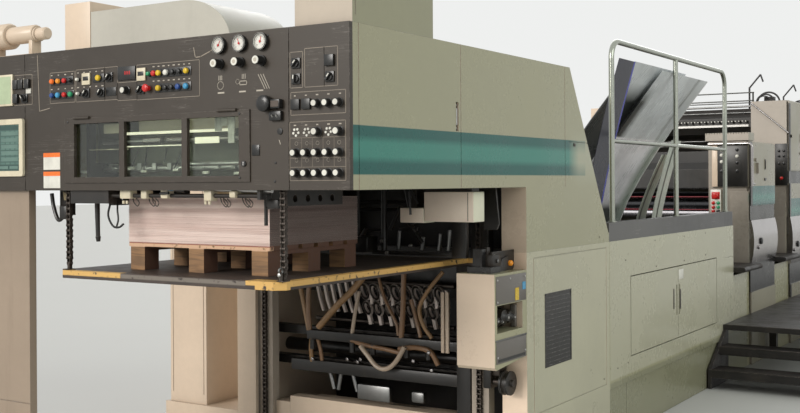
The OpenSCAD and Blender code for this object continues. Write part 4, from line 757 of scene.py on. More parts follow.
class Finish(Enum):
    """Every finish by name: its maker and the record's slot that it belongs to."""

    PANEL = (Paint("panel_dark", PANEL_TONE, roughness=0.40, grime_and_shade=0.2, wear=0.6, scratches=0.5, mottle=0.16,
                   wear_colour=(0.30, 0.27, 0.24)), "panel_dark")
    CREAM = (Paint("cream_paint", CREAM_TONE, grime_and_shade=0.3, roughness=0.34, cloud=0.5), "cream_paint")
    # The front colours below are partly the paints' front tones, partly painted light on faces towards the delivery
    # end.
    CROSS_BOX = (Paint("cross_box_paint", (0.78, 0.77, 0.60), front_tone_and_light=(0.97, 0.82, 0.68), grime_and_shade=0.15, cloud=0.3),
                 "cream_paint")
    TOP_BOX = (Paint("top_box_paint", (0.33, 0.32, 0.21), front_tone_and_light=(0.50, 0.425, 0.34), grime_and_shade=0.3, cloud=0.3),
               "green_grey_paint")
    # A darker copy of the cream paint: painted shade on the console leg.
    CREAM_SHADED = (Paint("shaded_cream_paint", (0.34, 0.262, 0.195), grime_and_shade=0.45, roughness=0.36), "cream_paint")
    CREAM_LEG = (Paint("leg_paint", (0.50, 0.48, 0.35), front_tone_and_light=(0.93, 0.73, 0.56), grime_and_shade=0.3, roughness=0.32,
                       cloud=0.3, bands=(
        Band.side((1.755, 2.09), (0.575, 0.955), (0.030, 0.027, 0.023), 0.003),)), "green_grey_paint")
    COVER = (Paint("cover_paint", GREEN_GREY_TONE, front_tone_and_light=CREAM_TONE, roughness=0.27, cloud=0.2, grime_and_shade=0.22,
                   mottle=0.05, bands=(
        Band.side((2.66, 5.75), (0.36, 1.30), (0.47, 0.455, 0.335), 0.01),
        Band.side((2.66, 5.75), (-0.1, 0.345), (0.275, 0.27, 0.175), 0.01))), "green_grey_paint")
    STRIPED = (Paint("striped_cover_paint", (0.365, 0.350, 0.228), front_tone_and_light=CREAM_TONE, bands=stripe_bands(),
                     roughness=0.27, cloud=0.2, grime_and_shade=0.22, mottle=0.05), "green_grey_paint")
    TOWER = (Paint("tower_paint", (0.31, 0.285, 0.205), front_tone_and_light=(0.41, 0.36, 0.305), bands=tower_bands(),
                   roughness=0.30, cloud=0.6), "green_grey_paint")
    PALE_GREY = (Paint("pale_grey_paint", (0.50, 0.48, 0.42), grime_and_shade=0.3, cloud=0.5), "pale_grey_paint")
    SILL = (Paint("sill_paint", (0.080, 0.078, 0.078), roughness=0.42, wear=0.8, scratches=0.5, mottle=0.3, bands=(
        Band((0.5, 1.0, 1.0), (1.1, 3.75, 1.6), (0.185, 0.18, 0.17), 0.9),)), "sill_grey")
    BLACK_PAINT = (Paint("black_paint", BLACK_TONE, roughness=0.35, grime_and_shade=0.5, grime_and_shade_colour=(0.07, 0.05, 0.035),
                         wear=0.5), "black_paint")
    BLACK_PLASTIC = (Plastic("black_plastic", (0.012, 0.012, 0.012), 0.32), "black_plastic")
    DIAL = (Plastic("dial_white", (0.80, 0.78, 0.72), 0.35, 0.02), "gauge_white")
    GLASS = (Glass("window_glass", (0.86, 0.93, 0.84)), "clear_glass")
    SCREEN = (Screen("screen_glass", (0.060, 0.125, 0.105), (0.085, 0.16, 0.13), 0.2), "screen_glass")
    BEZEL = (Plastic("bezel_cream", (0.72, 0.64, 0.47), 0.4), "bezel_cream")
    STEEL = (Metal("steel_bright", (0.55, 0.54, 0.52), 0.32), "steel_bright")
    STEEL_DARK = (Metal("steel_dark", (0.10, 0.085, 0.075), 0.45, dirt_and_shade=0.6), "steel_dark")
    CAST = (Metal("cast_grey", (0.42, 0.40, 0.37), 0.5, (30.0, 30.0, 30.0), 0.3, 0.5, metallic=0.35), "cast_grey")
    COLUMN = (Paint("column_paint", (0.46, 0.39, 0.32), grime_and_shade=0.7, roughness=0.45, wear=0.6, bands=(
        Band((0.0, 1.4, 1.10), (1.0, 1.8, 1.6), BLACK_TONE, 0.003),
        Band((-1.0, 1.4, -0.1), (1.0, 1.8, 0.061), BLACK_TONE, 0.002))), "cast_grey")
    COMB = (Paint("comb_paint", (0.74, 0.64, 0.58), grime_and_shade=0.12, roughness=0.4, wear=0.2, cloud=0.5), "cast_grey")
    CYLINDER = (Metal("cylinder_steel", (0.085, 0.085, 0.09), 0.24, (300.0, 8.0, 8.0), 0.08), "cylinder_steel")
    HOSE_YELLOW = (Plastic("hose_yellow", (0.34, 0.20, 0.095), 0.3), "hose_yellow")
    HOSE_PALE = (Plastic("hose_pale", (0.46, 0.36, 0.27), 0.3), "hose_yellow")
    HOSE_TAN = (Plastic("hose_tan", (0.26, 0.145, 0.075), 0.35), "hose_yellow")
    HOSE_BLACK = (Plastic("hose_black", (0.014, 0.013, 0.013), 0.45, 0.3), "hose_black")
    # Painted shadow: the edge bands leave the lower front edge in the dark base colour, for the shade under the thin
    # board.
    BOARD = (Wood("board_wood", (0.060, 0.042, 0.033), (3.0, 14.0, 14.0), 0.6, 0.6, bands=(
        Band((0.62, -0.10, 1.122), (0.80, 1.60, 1.2), (0.60, 0.36, 0.11), 0.003),
        Band((0.475, -0.10, 1.127), (0.80, 0.075, 1.2), EDGE_YELLOW, 0.003),
        Band((0.525, -0.10, 1.0), (0.80, 0.060, 1.2), EDGE_YELLOW, 0.003),
        Band((-0.80, -0.10, 1.124), (-0.250, 0.040, 1.2), EDGE_YELLOW, 0.003),
        Band((-0.250, -0.10, 1.124), (0.475, 0.012, 1.142), (0.17, 0.145, 0.12), 0.004))), "board_wood")
    # The pallet's faces towards the operator side are painted dark as shade.
    PALLET = (Wood("pallet_wood", (0.34, 0.19, 0.09), shaded_side_colour=(0.10, 0.045, 0.03), bands=(
        Band((-1.0, 0.0, 1.251), (1.0, 0.22, 1.30), (0.66, 0.42, 0.27), 0.002),
        Band((-1.0, 0.0, 1.268), (1.0, 0.22, 1.30), (0.30, 0.11, 0.07), 0.002))), "pallet_wood")
    # The pile's faces towards the operator side are painted dark as shade.
    PAPER = (Paper("paper_pile", (0.80, 0.66, 0.60), (0.62, 0.47, 0.42), shaded_side_colour=(0.10, 0.072, 0.064)), "paper")
    ALUMINIUM = (BareSheet("aluminium_sheet", (0.74, 0.77, 0.78), sheet_bands()), "aluminium_sheet")
    RAIL = (Metal("rail_steel", (0.44, 0.46, 0.40), 0.22, (3.0, 3.0, 3.0), 0.03, 0.3), "rail_chrome")
    CHROME = (Metal("rail_chrome", (0.46, 0.435, 0.43), 0.22, (3.0, 3.0, 3.0), 0.03, 0.3, bands=(
        Band((-1.2, 7.0, 2.302), (0.70, FAR, 2.6), (0.05, 0.05, 0.045), 0.002),
        # Painted reflection: a dark red band on the low unit's chrome guard.
        Band((-1.0, 5.7, 0.3), (0.646, 5.9, 1.62), (0.045, 0.012, 0.014), 0.002))), "rail_chrome")
    KEYS = (Metal("key_steel", (0.42, 0.41, 0.39), 0.35, bands=(
        Band((-1.2, 7.0, 2.088), (0.9, FAR, 2.3), (0.022, 0.022, 0.022), 0.002),)), "steel_bright")
    TRIM_STEEL = (Metal("trim_steel", (0.22, 0.22, 0.215), 0.35, dirt_and_shade=0.4), "steel_dark")
    DECK = (Tread("deck_brown", (0.008, 0.0062, 0.0052), (0.048, 0.039, 0.032)), "deck_brown")
    LAMP_ORANGE = (Plastic("lamp_orange", (0.80, 0.16, 0.02), 0.25, 0.02, 0.25), "bezel_cream")
    LAMP_AMBER = (Plastic("lamp_amber", (0.72, 0.26, 0.02), 0.25, 0.02, 0.25), "bezel_cream")
    LAMP_RED = (Plastic("lamp_red", (0.62, 0.018, 0.015), 0.25, 0.02), "bezel_cream")
    LAMP_YELLOW = (Plastic("lamp_yellow", (0.75, 0.50, 0.02), 0.25, 0.02), "bezel_cream")
    LAMP_GREEN = (Plastic("lamp_green", (0.03, 0.34, 0.15), 0.25, 0.02), "bezel_cream")
    LAMP_BLUE = (Plastic("lamp_blue", (0.06, 0.33, 0.58), 0.25, 0.02), "bezel_cream")
    LAMP_NAVY = (Plastic("lamp_navy", (0.02, 0.07, 0.26), 0.25, 0.02), "bezel_cream")
    CAP_WHITE = (Plastic("cap_white", (0.78, 0.76, 0.68), 0.35, 0.02), "bezel_cream")
    PRINT = (Plastic("print_pale", (0.52, 0.47, 0.39), 0.55, 0.02), "gauge_white")
    PRINT_DIM = (Plastic("print_dim", (0.33, 0.28, 0.22), 0.55, 0.02), "gauge_white")
    DIGITS = (Plastic("digits_red", (0.60, 0.03, 0.03), 0.3, 0.02, 0.5), "screen_glass")
    DISPLAY = (Plastic("display_pale", (0.42, 0.50, 0.32), 0.2, 0.02, 0.1), "screen_glass")
    SCREEN_DARK = (Plastic("screen_dark", (0.028, 0.070, 0.060), 0.2, 0.02, 0.1), "screen_glass")
    SCREEN_PALE = (Plastic("screen_pale", (0.11, 0.19, 0.16), 0.2, 0.02, 0.15), "screen_glass")
    # Painted light: these two finishes glow though they are no lamps, the pale one for bright strips, the cream one
    # for panels behind the panes.
    INNER_PAINTED_LIGHT = (Plastic("inner_painted_light", (0.80, 0.76, 0.60), 0.5, 0.05, 0.9), "pale_grey_paint")
    INNER_CREAM_GLOWING = (Plastic("inner_cream_glowing", (0.46, 0.42, 0.30), 0.5, 0.05, 0.12), "pale_grey_paint")
    INNER_DIM = (Paint("inner_dim", (0.16, 0.165, 0.125), roughness=0.35, grime_and_shade=0.5), "pale_grey_paint")
    OLIVE = (Paint("olive_paint", (0.20, 0.15, 0.07), roughness=0.45), "black_paint")
    BOX_GREY = (Paint("box_grey", (0.16, 0.145, 0.13), roughness=0.4, wear=0.5, scratches=0.2), "sill_grey")

    def __init__(self, maker: object, slot: str) -> None:
        """Keeps the maker and the slot; the material comes when it is first asked for."""
        self.maker = maker
        self.slot = slot
        self.material: Optional[bpy.types.Material] = None

    def get(self) -> bpy.types.Material:
        """The material, made the first time that it is asked for."""
        if self.material is None:
            self.material = self.maker.build()
        return self.material


NODE_FINISHES: dict[Finish, tuple[str, ...]] = {
    Finish.PANEL: ("control_panel", "window_frame"),
    Finish.GLASS: ("window_panes",),
    Finish.BEZEL: ("monitor",),
    Finish.SCREEN: ("monitor_screen",),
    Finish.DIAL: ("pressure_gauges",),
    Finish.BLACK_PLASTIC: ("regulator_knobs", "panel_handwheel", "side_box_drive"),
    Finish.CREAM: ("blower", "rear_cabinet", "bay_base", "drive_leg"),
    Finish.CREAM_SHADED: ("console_leg",),
    Finish.TOP_BOX: ("top_box",),
    Finish.CREAM_LEG: ("operator_leg",),
    Finish.PALE_GREY: ("console_box", "exhaust_hood", "top_cover"),
    Finish.STRIPED: ("operator_cover",),
    Finish.COVER: ("drive_cover", "slope_cover", "cross_box", "side_box", "low_core", "low_cover",
                   "toe_panel", "door_left", "door_right", "plinths", "unit_gear_housings", "feeder"),
    Finish.TOWER: ("low_unit_tower", "unit_towers"),
    Finish.SILL: ("sill",),
    Finish.BLACK_PAINT: ("front_stop", "joggers", "bay_back", "ink_units"),
    Finish.STEEL_DARK: ("gripper_tracks", "rear_chains", "front_chains"),
    Finish.STEEL: ("gripper_bars", "feed_board"),
    Finish.KEYS: ("ink_keys",),
    Finish.COMB: ("suction_combs",),
    Finish.COLUMN: ("rear_columns",),
    Finish.CYLINDER: ("low_unit_cylinders", "unit_cylinders"),
    Finish.HOSE_YELLOW: ("air_hoses",),
    Finish.HOSE_BLACK: ("ink_hoses",),
    Finish.BOARD: ("pile_board",),
    Finish.PALLET: ("pallet",),
    Finish.PAPER: ("paper_stack", "feeder_pile"),
    Finish.ALUMINIUM: ("spare_sheets",),
    Finish.RAIL: ("guard_rail",),
    Finish.CHROME: ("unit_guards",),
    Finish.DECK: ("footboards", "walkway"),
}


def dress_nodes() -> None:
    """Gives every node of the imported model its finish."""
    for finish, names in NODE_FINISHES.items():
        for name in names:
            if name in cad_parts:
                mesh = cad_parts[name].data
                mesh.materials.clear()
                mesh.materials.append(finish.get())


# Shapes


def turns(count: int) -> list[float]:
    """Equal steps round a circle, in radians."""
    return [2 * math.pi * k / count for k in range(count)]


def join_rings(mesh: bmesh.types.BMesh, rings: list[list[bmesh.types.BMVert]], caps: bool = True) -> None:
    """Spans faces from ring to ring, and closes both ends or joins the last ring to the first."""
    loop = rings if caps else rings + rings[:1]
    for one, two in zip(loop, loop[1:]):
        for k in range(len(one)):
            after = (k + 1) % len(one)
            mesh.faces.new((one[k], one[after], two[after], two[k]))
    if caps:
        mesh.faces.new(list(reversed(rings[0])))
        mesh.faces.new(rings[-1])


class Shape:
    """Collects bodies in one mesh a finish, and turns them into pieces that ride on a body."""

    def __init__(self, name: str, finish: Finish, body: str = "press") -> None:
        """Starts with no mesh.

        Args:
            name: The name of the piece in the shape's own finish, and the start of the others' names.
            finish: The shape's own finish.
            body: The moving or fixed body that the pieces ride on.
        """
        self.name = name
        self.finish = finish
        self.body = body
        self.meshes: dict[Finish, bmesh.types.BMesh] = {}

    def mesh(self, finish: Optional[Finish]) -> bmesh.types.BMesh:
        """The mesh that collects one finish."""
        key = finish or self.finish
        if key not in self.meshes:
            self.meshes[key] = bmesh.new()
        return self.meshes[key]

    def block(self, low: Sequence[float], high: Sequence[float], bevel: float = 0.0,
              finish: Optional[Finish] = None) -> None:
        """A box between two corners, with rounded edges where bevel is above 0."""
        mesh = self.mesh(finish)
        size = Vector(high) - Vector(low)
        middle = DATUM.at((Vector(high) + Vector(low)) / 2)
        place = Matrix.Translation(middle) @ Matrix.Diagonal((*size, 1.0))
        made = bmesh.ops.create_cube(mesh, size=1.0, matrix=place)
        if bevel:
            edges = {e for v in made["verts"] for e in v.link_edges}
            bmesh.ops.bevel(mesh, geom=list(edges), offset=min(bevel, *(abs(s) * 0.45 for s in size)), segments=2,
                            profile=0.5, affect="EDGES")

    def rod(self, start: Sequence[float], end: Sequence[float], radius: float, sides: int = 16,
            end_radius: Optional[float] = None, finish: Optional[Finish] = None) -> None:
        """A round bar or a cone from start to end."""
        a, b = DATUM.at(start), DATUM.at(end)
        way = b - a
        turn = Vector((0.0, 0.0, 1.0)).rotation_difference(way).to_matrix().to_4x4()
        bmesh.ops.create_cone(self.mesh(finish), cap_ends=True, segments=sides, radius1=radius,
                              radius2=radius if end_radius is None else end_radius, depth=way.length,
                              matrix=Matrix.Translation((a + b) / 2) @ turn)

    def lathe(self, start: Sequence[float], axis: Sequence[float], profile: Flat, sides: int = 24,
              finish: Optional[Finish] = None, caps: bool = True) -> None:
        """Turns a profile of distances along the axis and radii round the axis, closed or as a ring."""
        mesh = self.mesh(finish)
        turn = Vector((0.0, 0.0, 1.0)).rotation_difference(Vector(axis)).to_matrix()
        base = DATUM.at(start)
        join_rings(mesh, [[mesh.verts.new(base + turn @ Vector((radius * math.cos(a), radius * math.sin(a), along)))
                           for a in turns(sides)] for along, radius in profile], caps)

    def prism(self, outline: Sequence[Sequence[float]], along: Sequence[float],
              finish: Optional[Finish] = None) -> None:
        """Extrudes a flat outline of points on the machine along a vector."""
        mesh = self.mesh(finish)
        base = [mesh.verts.new(DATUM.at(p)) for p in outline]
        face = mesh.faces.new(base)
        made = bmesh.ops.extrude_face_region(mesh, geom=[face])
        moved = [v for v in made["geom"] if isinstance(v, bmesh.types.BMVert)]
        bmesh.ops.translate(mesh, verts=moved, vec=Vector(along))
        faces = {f for v in base + moved for f in v.link_faces}
        bmesh.ops.recalc_face_normals(mesh, faces=list(faces))

    def tube(self, points: Sequence[Sequence[float]], radius: float, sides: int = 8, smooth: int = 6,
             finish: Optional[Finish] = None) -> None:
        """A round tube along a smooth curve through the points."""
        mesh = self.mesh(finish)
        path = smooth_path([DATUM.at(p) for p in points], smooth)
        side = Vector((0.0, 0.0, 1.0))
        rings = []
        for i, point in enumerate(path):
            ahead = (path[min(i + 1, len(path) - 1)] - path[max(i - 1, 0)]).normalized()
            across = ahead.cross(side)
            if across.length < 0.05:
                across = ahead.cross(Vector((1.0, 0.0, 0.0)))
            across.normalize()
            side = across.cross(ahead).normalized()
            rings.append([mesh.verts.new(point + radius * (math.cos(a) * across + math.sin(a) * side))
                          for a in turns(sides)])
        join_rings(mesh, rings)

    def strip(self, points: Sequence[Sequence[float]], width: float, normal: Sequence[float],
              finish: Optional[Finish] = None, closed: bool = True, depth: float = 0.0006) -> None:
        """A thin raised line along straight stretches, as painted borders are."""
        face = Vector(normal)
        loop = [Vector(p) for p in points] + ([Vector(points[0])] if closed else [])
        for a, b in zip(loop, loop[1:]):
            way = (b - a).normalized()
            across = way.cross(face).normalized() * width / 2
            reach = way * width / 2
            self.prism([a - reach - across, b + reach - across, b + reach + across, a - reach + across],
                       face * depth, finish)

    def done(self, instead_of: Optional[str] = None) -> None:
        """Makes one piece a finish, smooth where it is round.

        Args:
            instead_of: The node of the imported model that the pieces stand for, if any.
        """
        for finish, mesh in self.meshes.items():
            name = self.name if finish is self.finish else f"{self.name}_{finish.name.lower()}"
            bmesh.ops.recalc_face_normals(mesh, faces=mesh.faces)
            data = bpy.data.meshes.new(name)
            mesh.to_mesh(data)
            mesh.free()
            data.materials.append(finish.get())
            piece = bpy.data.objects.new(name, data)
            bpy.context.scene.collection.objects.link(piece)
            data.set_sharp_from_angle(angle=SMOOTH_ANGLE)
            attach(piece, self.body)
            if instead_of:
                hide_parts(instead_of)
            log.info("%s: %d faces", name, len(data.polygons))


def smooth_path(points: list[Vector], steps: int) -> list[Vector]:
    """Points on a Catmull-Rom curve through the given ones."""
    if steps < 2 or len(points) < 3:
        return points
    ends = [points[0] * 2 - points[1]] + points + [points[-1] * 2 - points[-2]]
    path = []
    for i in range(1, len(ends) - 2):
        a, b, c, d = ends[i - 1:i + 3]
        for k in range(steps):
            t = k / steps
            path.append(0.5 * ((2 * b) + (c - a) * t + (2 * a - 5 * b + 4 * c - d) * t * t
                               + (3 * b - a - 3 * c + d) * t ** 3))
    return path + [points[-1]]


# Sub-assemblies


def screw_head(shape: Shape, place: Point, axis: Point, radius: float = 0.006,
               finish: Optional[Finish] = None) -> None:
    """A low domed screw head on a face."""
    shape.lathe(place, axis, ((0.0, radius), (radius * 0.35, radius * 0.9), (radius * 0.55, radius * 0.55)), 12,
                finish)


@dataclass(frozen=True)
class PanelRow:
    """One horizontal row of round buttons and lamps on the control panel."""

    height: float
    buttons: tuple[tuple[float, Finish, float], ...]


@dataclass(frozen=True)
class ControlPanel:
    """Everything that is fitted to the dark control panel."""

    upper: float = 2.023
    lower: float = 1.958
    knob_depth: float = 0.032
    knob_radius: float = 0.0165
    knob_pitch: float = 0.0522
    gauge_height: float = 2.117
    gauge_ticks: int = 21

    def build(self) -> None:
        """Makes the fittings, the printed lines and the faces of the gauges."""
        parts = Shape("panel_fittings", Finish.BLACK_PLASTIC)
        self.add_lamps(parts)
        self.add_displays(parts)
        self.add_right_field(parts)
        self.add_left_field(parts)
        parts.done()
        marks = Shape("panel_marks", Finish.PRINT)
        self.add_borders(marks)
        self.add_symbols(marks)
        marks.done()
        self.make_gauges()
        self.make_monitor()
        self.make_hand_knob()
        self.make_plates()

    def base(self, shape: Shape, low: tuple[float, float], high: tuple[float, float], out: float = 0.005,
             bevel: float = 0.0015, finish: Optional[Finish] = None) -> None:
        """A plate that stands on the panel's face."""
        shape.block((low[0], -out, low[1]), (high[0], 0.0, high[1]), bevel, finish)

    def button(self, shape: Shape, x: float, z: float, finish: Finish, radius: float = 0.0115) -> None:
        """A round button or lamp in a dark collar."""
        shape.lathe((x, 0.0, z), FRONT, ((0.0, radius * 1.35), (0.007, radius * 1.3), (0.0075, radius)), 20)
        shape.lathe((x, -0.0075, z), FRONT, ((0.0, radius), (0.008, radius * 0.97), (0.011, radius * 0.75),
                                                  (0.012, radius * 0.3)), 20, finish)

    def knob(self, shape: Shape, x: float, z: float, radius: Optional[float] = None) -> None:
        """A long black knob with a white cap."""
        r = radius or self.knob_radius
        d = self.knob_depth
        shape.lathe((x, 0.0, z), FRONT, ((0.0, r * 1.15), (0.004, r * 1.15), (0.005, r), (d - 0.002, r * 0.94),
                                              (d, r * 0.8)), 20)
        shape.lathe((x, -d, z), FRONT, ((0.0, r * 0.72), (0.0012, r * 0.68)), 18, Finish.CAP_WHITE)

    @staticmethod
    def pointing(turn: float) -> Vector:
        """A direction on the panel's face, turned from straight up by some degrees."""
        a = math.radians(turn)
        return Vector((math.sin(a), 0.0, math.cos(a)))

    def selector(self, shape: Shape, x: float, z: float, turn: float = 40.0) -> None:
        """A square switch with a turning bar and a white pointer."""
        self.base(shape, (x - 0.021, z - 0.021), (x + 0.021, z + 0.021), 0.006)
        shape.lathe((x, -0.006, z), FRONT, ((0.0, 0.017), (0.008, 0.016), (0.0085, 0.012)), 20)
        along = self.pointing(turn) * 0.016
        across = self.pointing(turn + 90.0)
        for width, depth, out, finish in ((0.0052, 0.010, 0.0145, None), (0.0022, 0.0008, 0.0245, Finish.CAP_WHITE)):
            middle = Vector((x, -out, z)) + (along * 0.3 if finish else Vector())
            ends = [middle - along * (0.4 if finish else 1.0), middle + along * (0.6 if finish else 1.0)]
            side = across * width
            shape.prism([ends[0] - side, ends[1] - side, ends[1] + side, ends[0] + side], (0.0, -depth, 0.0), finish)

    def add_lamps(self, shape: Shape) -> None:
        """The two coloured rows above the window."""
        small = 0.0075
        rows = (
            PanelRow(self.upper, (
                (-0.688, Finish.LAMP_ORANGE, 0.0115), (-0.646, Finish.LAMP_AMBER, 0.0115),
                (-0.603, Finish.LAMP_RED, 0.0115), (-0.567, Finish.BLACK_PLASTIC, 0.010),
                (-0.515, Finish.CAP_WHITE, small), (-0.378, Finish.LAMP_YELLOW, 0.0135),
                (-0.063, Finish.LAMP_GREEN, 0.0095), (-0.031, Finish.LAMP_RED, 0.0125),
                (-0.002, Finish.LAMP_YELLOW, 0.0125), (0.041, Finish.CAP_WHITE, 0.0125),
                (0.080, Finish.BLACK_PLASTIC, 0.0115), (0.118, Finish.BLACK_PLASTIC, 0.0115),
                (0.160, Finish.LAMP_YELLOW, 0.0125))),
            PanelRow(self.lower, (
                (-0.688, Finish.LAMP_NAVY, 0.0115), (-0.648, Finish.LAMP_BLUE, 0.0125),
                (-0.603, Finish.LAMP_RED, 0.0115), (-0.562, Finish.LAMP_GREEN, 0.0125),
                (-0.512, Finish.CAP_WHITE, small), (-0.004, Finish.LAMP_YELLOW, 0.0125),
                (0.038, Finish.BLACK_PLASTIC, 0.0115), (0.074, Finish.BLACK_PLASTIC, 0.0115),
                (0.112, Finish.LAMP_NAVY, 0.0125), (0.158, Finish.LAMP_BLUE, 0.0125))),
        )
        for row in rows:
            for x, finish, radius in row.buttons:
                self.button(shape, x, row.height, finish, radius)
        for low, high, z in ((-0.708, -0.552, self.upper), (-0.708, -0.545, self.lower), (-0.42, -0.348, self.upper),
                             (-0.052, 0.182, self.upper), (-0.03, 0.182, self.lower), (-0.336, -0.271, self.lower)):
            self.base(shape, (low, z - 0.0195), (high, z + 0.0195), 0.003)
        for x, z in ((-0.312, self.upper), (-0.463, self.lower), (-0.365, self.lower), (-0.116, self.lower)):
            self.selector(shape, x, z)
        shape.lathe((-0.071, 0.0, self.lower + 0.003), FRONT, ((0.0, 0.012), (0.014, 0.012), (0.016, 0.0165),
                    (0.022, 0.0175), (0.027, 0.014), (0.029, 0.005)), 24, Finish.LAMP_RED)
        self.knob(shape, -0.203, self.lower, 0.0175)

    def add_displays(self, shape: Shape) -> None:
        """Two counters, and a dark display with red bars."""
        for low, high in (((-0.489, 1.996), (-0.436, 2.050)), ((-0.138, 1.995), (-0.085, 2.052))):
            self.base(shape, low, high, 0.008, 0.003, Finish.BEZEL)
            shape.block((low[0] + 0.008, -0.0085, high[1] - 0.035), (high[0] - 0.008, -0.007, high[1] - 0.016),
                        0.001)
        self.base(shape, (-0.257, 2.004), (-0.147, 2.064), 0.007, 0.002)
        for i in range(3):
            x = -0.212 + i * 0.0135
            for low, high in (((0.0, 0.0), (0.007, 0.0015)), ((0.0, 0.0065), (0.007, 0.008)),
                              ((0.0, 0.013), (0.007, 0.0145)), ((0.0, 0.0), (0.0015, 0.0145)),
                              ((0.0055, 0.0), (0.007, 0.0145))):
                shape.block((x + low[0], -0.0078, 2.028 + low[1]), (x + high[0], -0.0069, 2.028 + high[1]),
                            finish=Finish.DIGITS)

    def add_right_field(self, shape: Shape) -> None:
        """The switches and rows of knobs at the operator corner."""
        for x, z, turn in ((0.744, 2.018, 45), (0.744, 1.956, 5), (0.909, 1.956, 40)):
            self.selector(shape, x, z, turn)
        self.base(shape, (0.887, 1.998), (0.931, 2.042), 0.012)
        for x in (0.741, 0.794):
            self.base(shape, (x - 0.021, 1.834), (x + 0.021, 1.876), 0.010)
        for x in (0.849, 0.901, 0.953):
            self.knob(shape, x, 1.855)
        for x in (0.849, 0.953):
            self.knob(shape, x, 1.744, 0.0175)
        for z in (1.663, 1.583):
            for i in range(5):
                self.knob(shape, 0.744 + i * self.knob_pitch, z)
        for x in (0.741, 0.794, 0.900):
            for dx, dz in ((-0.008, 0.012), (0.007, 0.013), (-0.013, -0.002), (0.012, -0.001), (0.0, -0.012)):
                shape.lathe((x + dx, 0.0, 1.743 + dz), FRONT, ((0.0, 0.0055), (0.003, 0.005)), 12,
                            Finish.CAP_WHITE)
        shape.lathe((0.660, 0.0, 1.751), FRONT, ((0.0, 0.014), (0.004, 0.013), (0.0045, 0.010)), 20)
        self.base(shape, (0.514, 1.656), (0.554, 1.700), 0.004)
        shape.lathe((0.476, -0.006, 1.624), FRONT, ((0.0, 0.012), (0.006, 0.012), (0.0065, 0.007)), 16)
        shape.block((0.474, -0.0135, 1.616), (0.478, -0.012, 1.632), finish=Finish.STEEL)
        for x, z in ((0.636, 1.625), (0.632, 1.55), (0.452, 1.566), (0.452, 1.83), (0.60, 2.14), (-0.585, 1.83)):
            screw_head(shape, (x, 0.0 if x > 0.5 else -0.006, z), FRONT, 0.0055)
        for x in (0.345, 0.458, 0.570):
            shape.lathe((x, -0.046, 2.040), FRONT, ((0.0, 0.0165), (0.0015, 0.0155)), 24, Finish.CAP_WHITE)
            shape.lathe((x, -0.0475, 2.040), FRONT, ((0.0, 0.008), (0.0006, 0.008)), 20, Finish.PRINT)

    def make_hand_knob(self) -> None:
        """The large knob and the two switch boxes beside it, in the place where the photograph has them."""
        shape = Shape("hand_knob", Finish.BLACK_PLASTIC)
        x, z = 0.596, 1.864
        shape.lathe((x, 0.0, z), FRONT, ((0.0, 0.021), (0.012, 0.021), (0.013, 0.034), (0.018, 0.034),
                                              (0.034, 0.033), (0.037, 0.029), (0.039, 0.012)), 14)
        self.base(shape, (0.628, 1.842), (0.676, 1.879), 0.026, 0.003)
        self.base(shape, (0.615, 1.794), (0.676, 1.832), 0.018, 0.003)
        shape.block((0.632, -0.0275, 1.848), (0.672, -0.0255, 1.873), finish=Finish.STEEL_DARK)
        for k in (0.634, 0.656):
            shape.rod((k, -0.016, 1.808), (k, -0.024, 1.817), 0.0035, 10, finish=Finish.STEEL)
        shape.done("panel_handwheel")

    def make_plates(self) -> None:
        """Two blank plates beside the window, each with an orange band that glows as painted light."""
        shape = Shape("blank_plates", Finish.CAP_WHITE)
        for low, high in ((1.612, 1.691), (1.526, 1.603)):
            self.base(shape, (-0.760, low), (-0.645, high), 0.001, 0.0)
            # The band takes the glowing orange lamp finish: painted light on a plate.
            shape.block((-0.760, -0.0016, high - 0.020), (-0.645, -0.0008, high), finish=Finish.LAMP_ORANGE)
        shape.done()

    def add_left_field(self, shape: Shape) -> None:
        """The pale display and the black switches above the monitor."""
        self.base(shape, (-1.074, 1.922), (-0.972, 2.074), 0.010, 0.004, Finish.BEZEL)
        shape.block((-1.064, -0.0108, 1.932), (-0.982, -0.0095, 2.064), finish=Finish.DISPLAY)
        for x, z in ((-0.951, 2.022), (-0.912, 2.022), (-0.868, 2.022), (-0.951, 1.955)):
            self.base(shape, (x - 0.016, z - 0.022), (x + 0.016, z + 0.022), 0.014)
        self.selector(shape, -0.890, 1.955, -35)
        self.base(shape, (-0.880, 1.977), (-0.846, 2.000), 0.0035, 0.0, Finish.CAP_WHITE)
        for x in (-0.931, -0.890):
            self.base(shape, (x - 0.002, 2.005), (x + 0.002, 2.050), 0.008, 0.0, Finish.PRINT)
        self.base(shape, (-1.30, 1.93), (-1.14, 2.05), 0.010, 0.004)
        for i in range(4):
            self.button(shape, -1.29 + i * 0.045, 1.86, Finish.BLACK_PLASTIC)

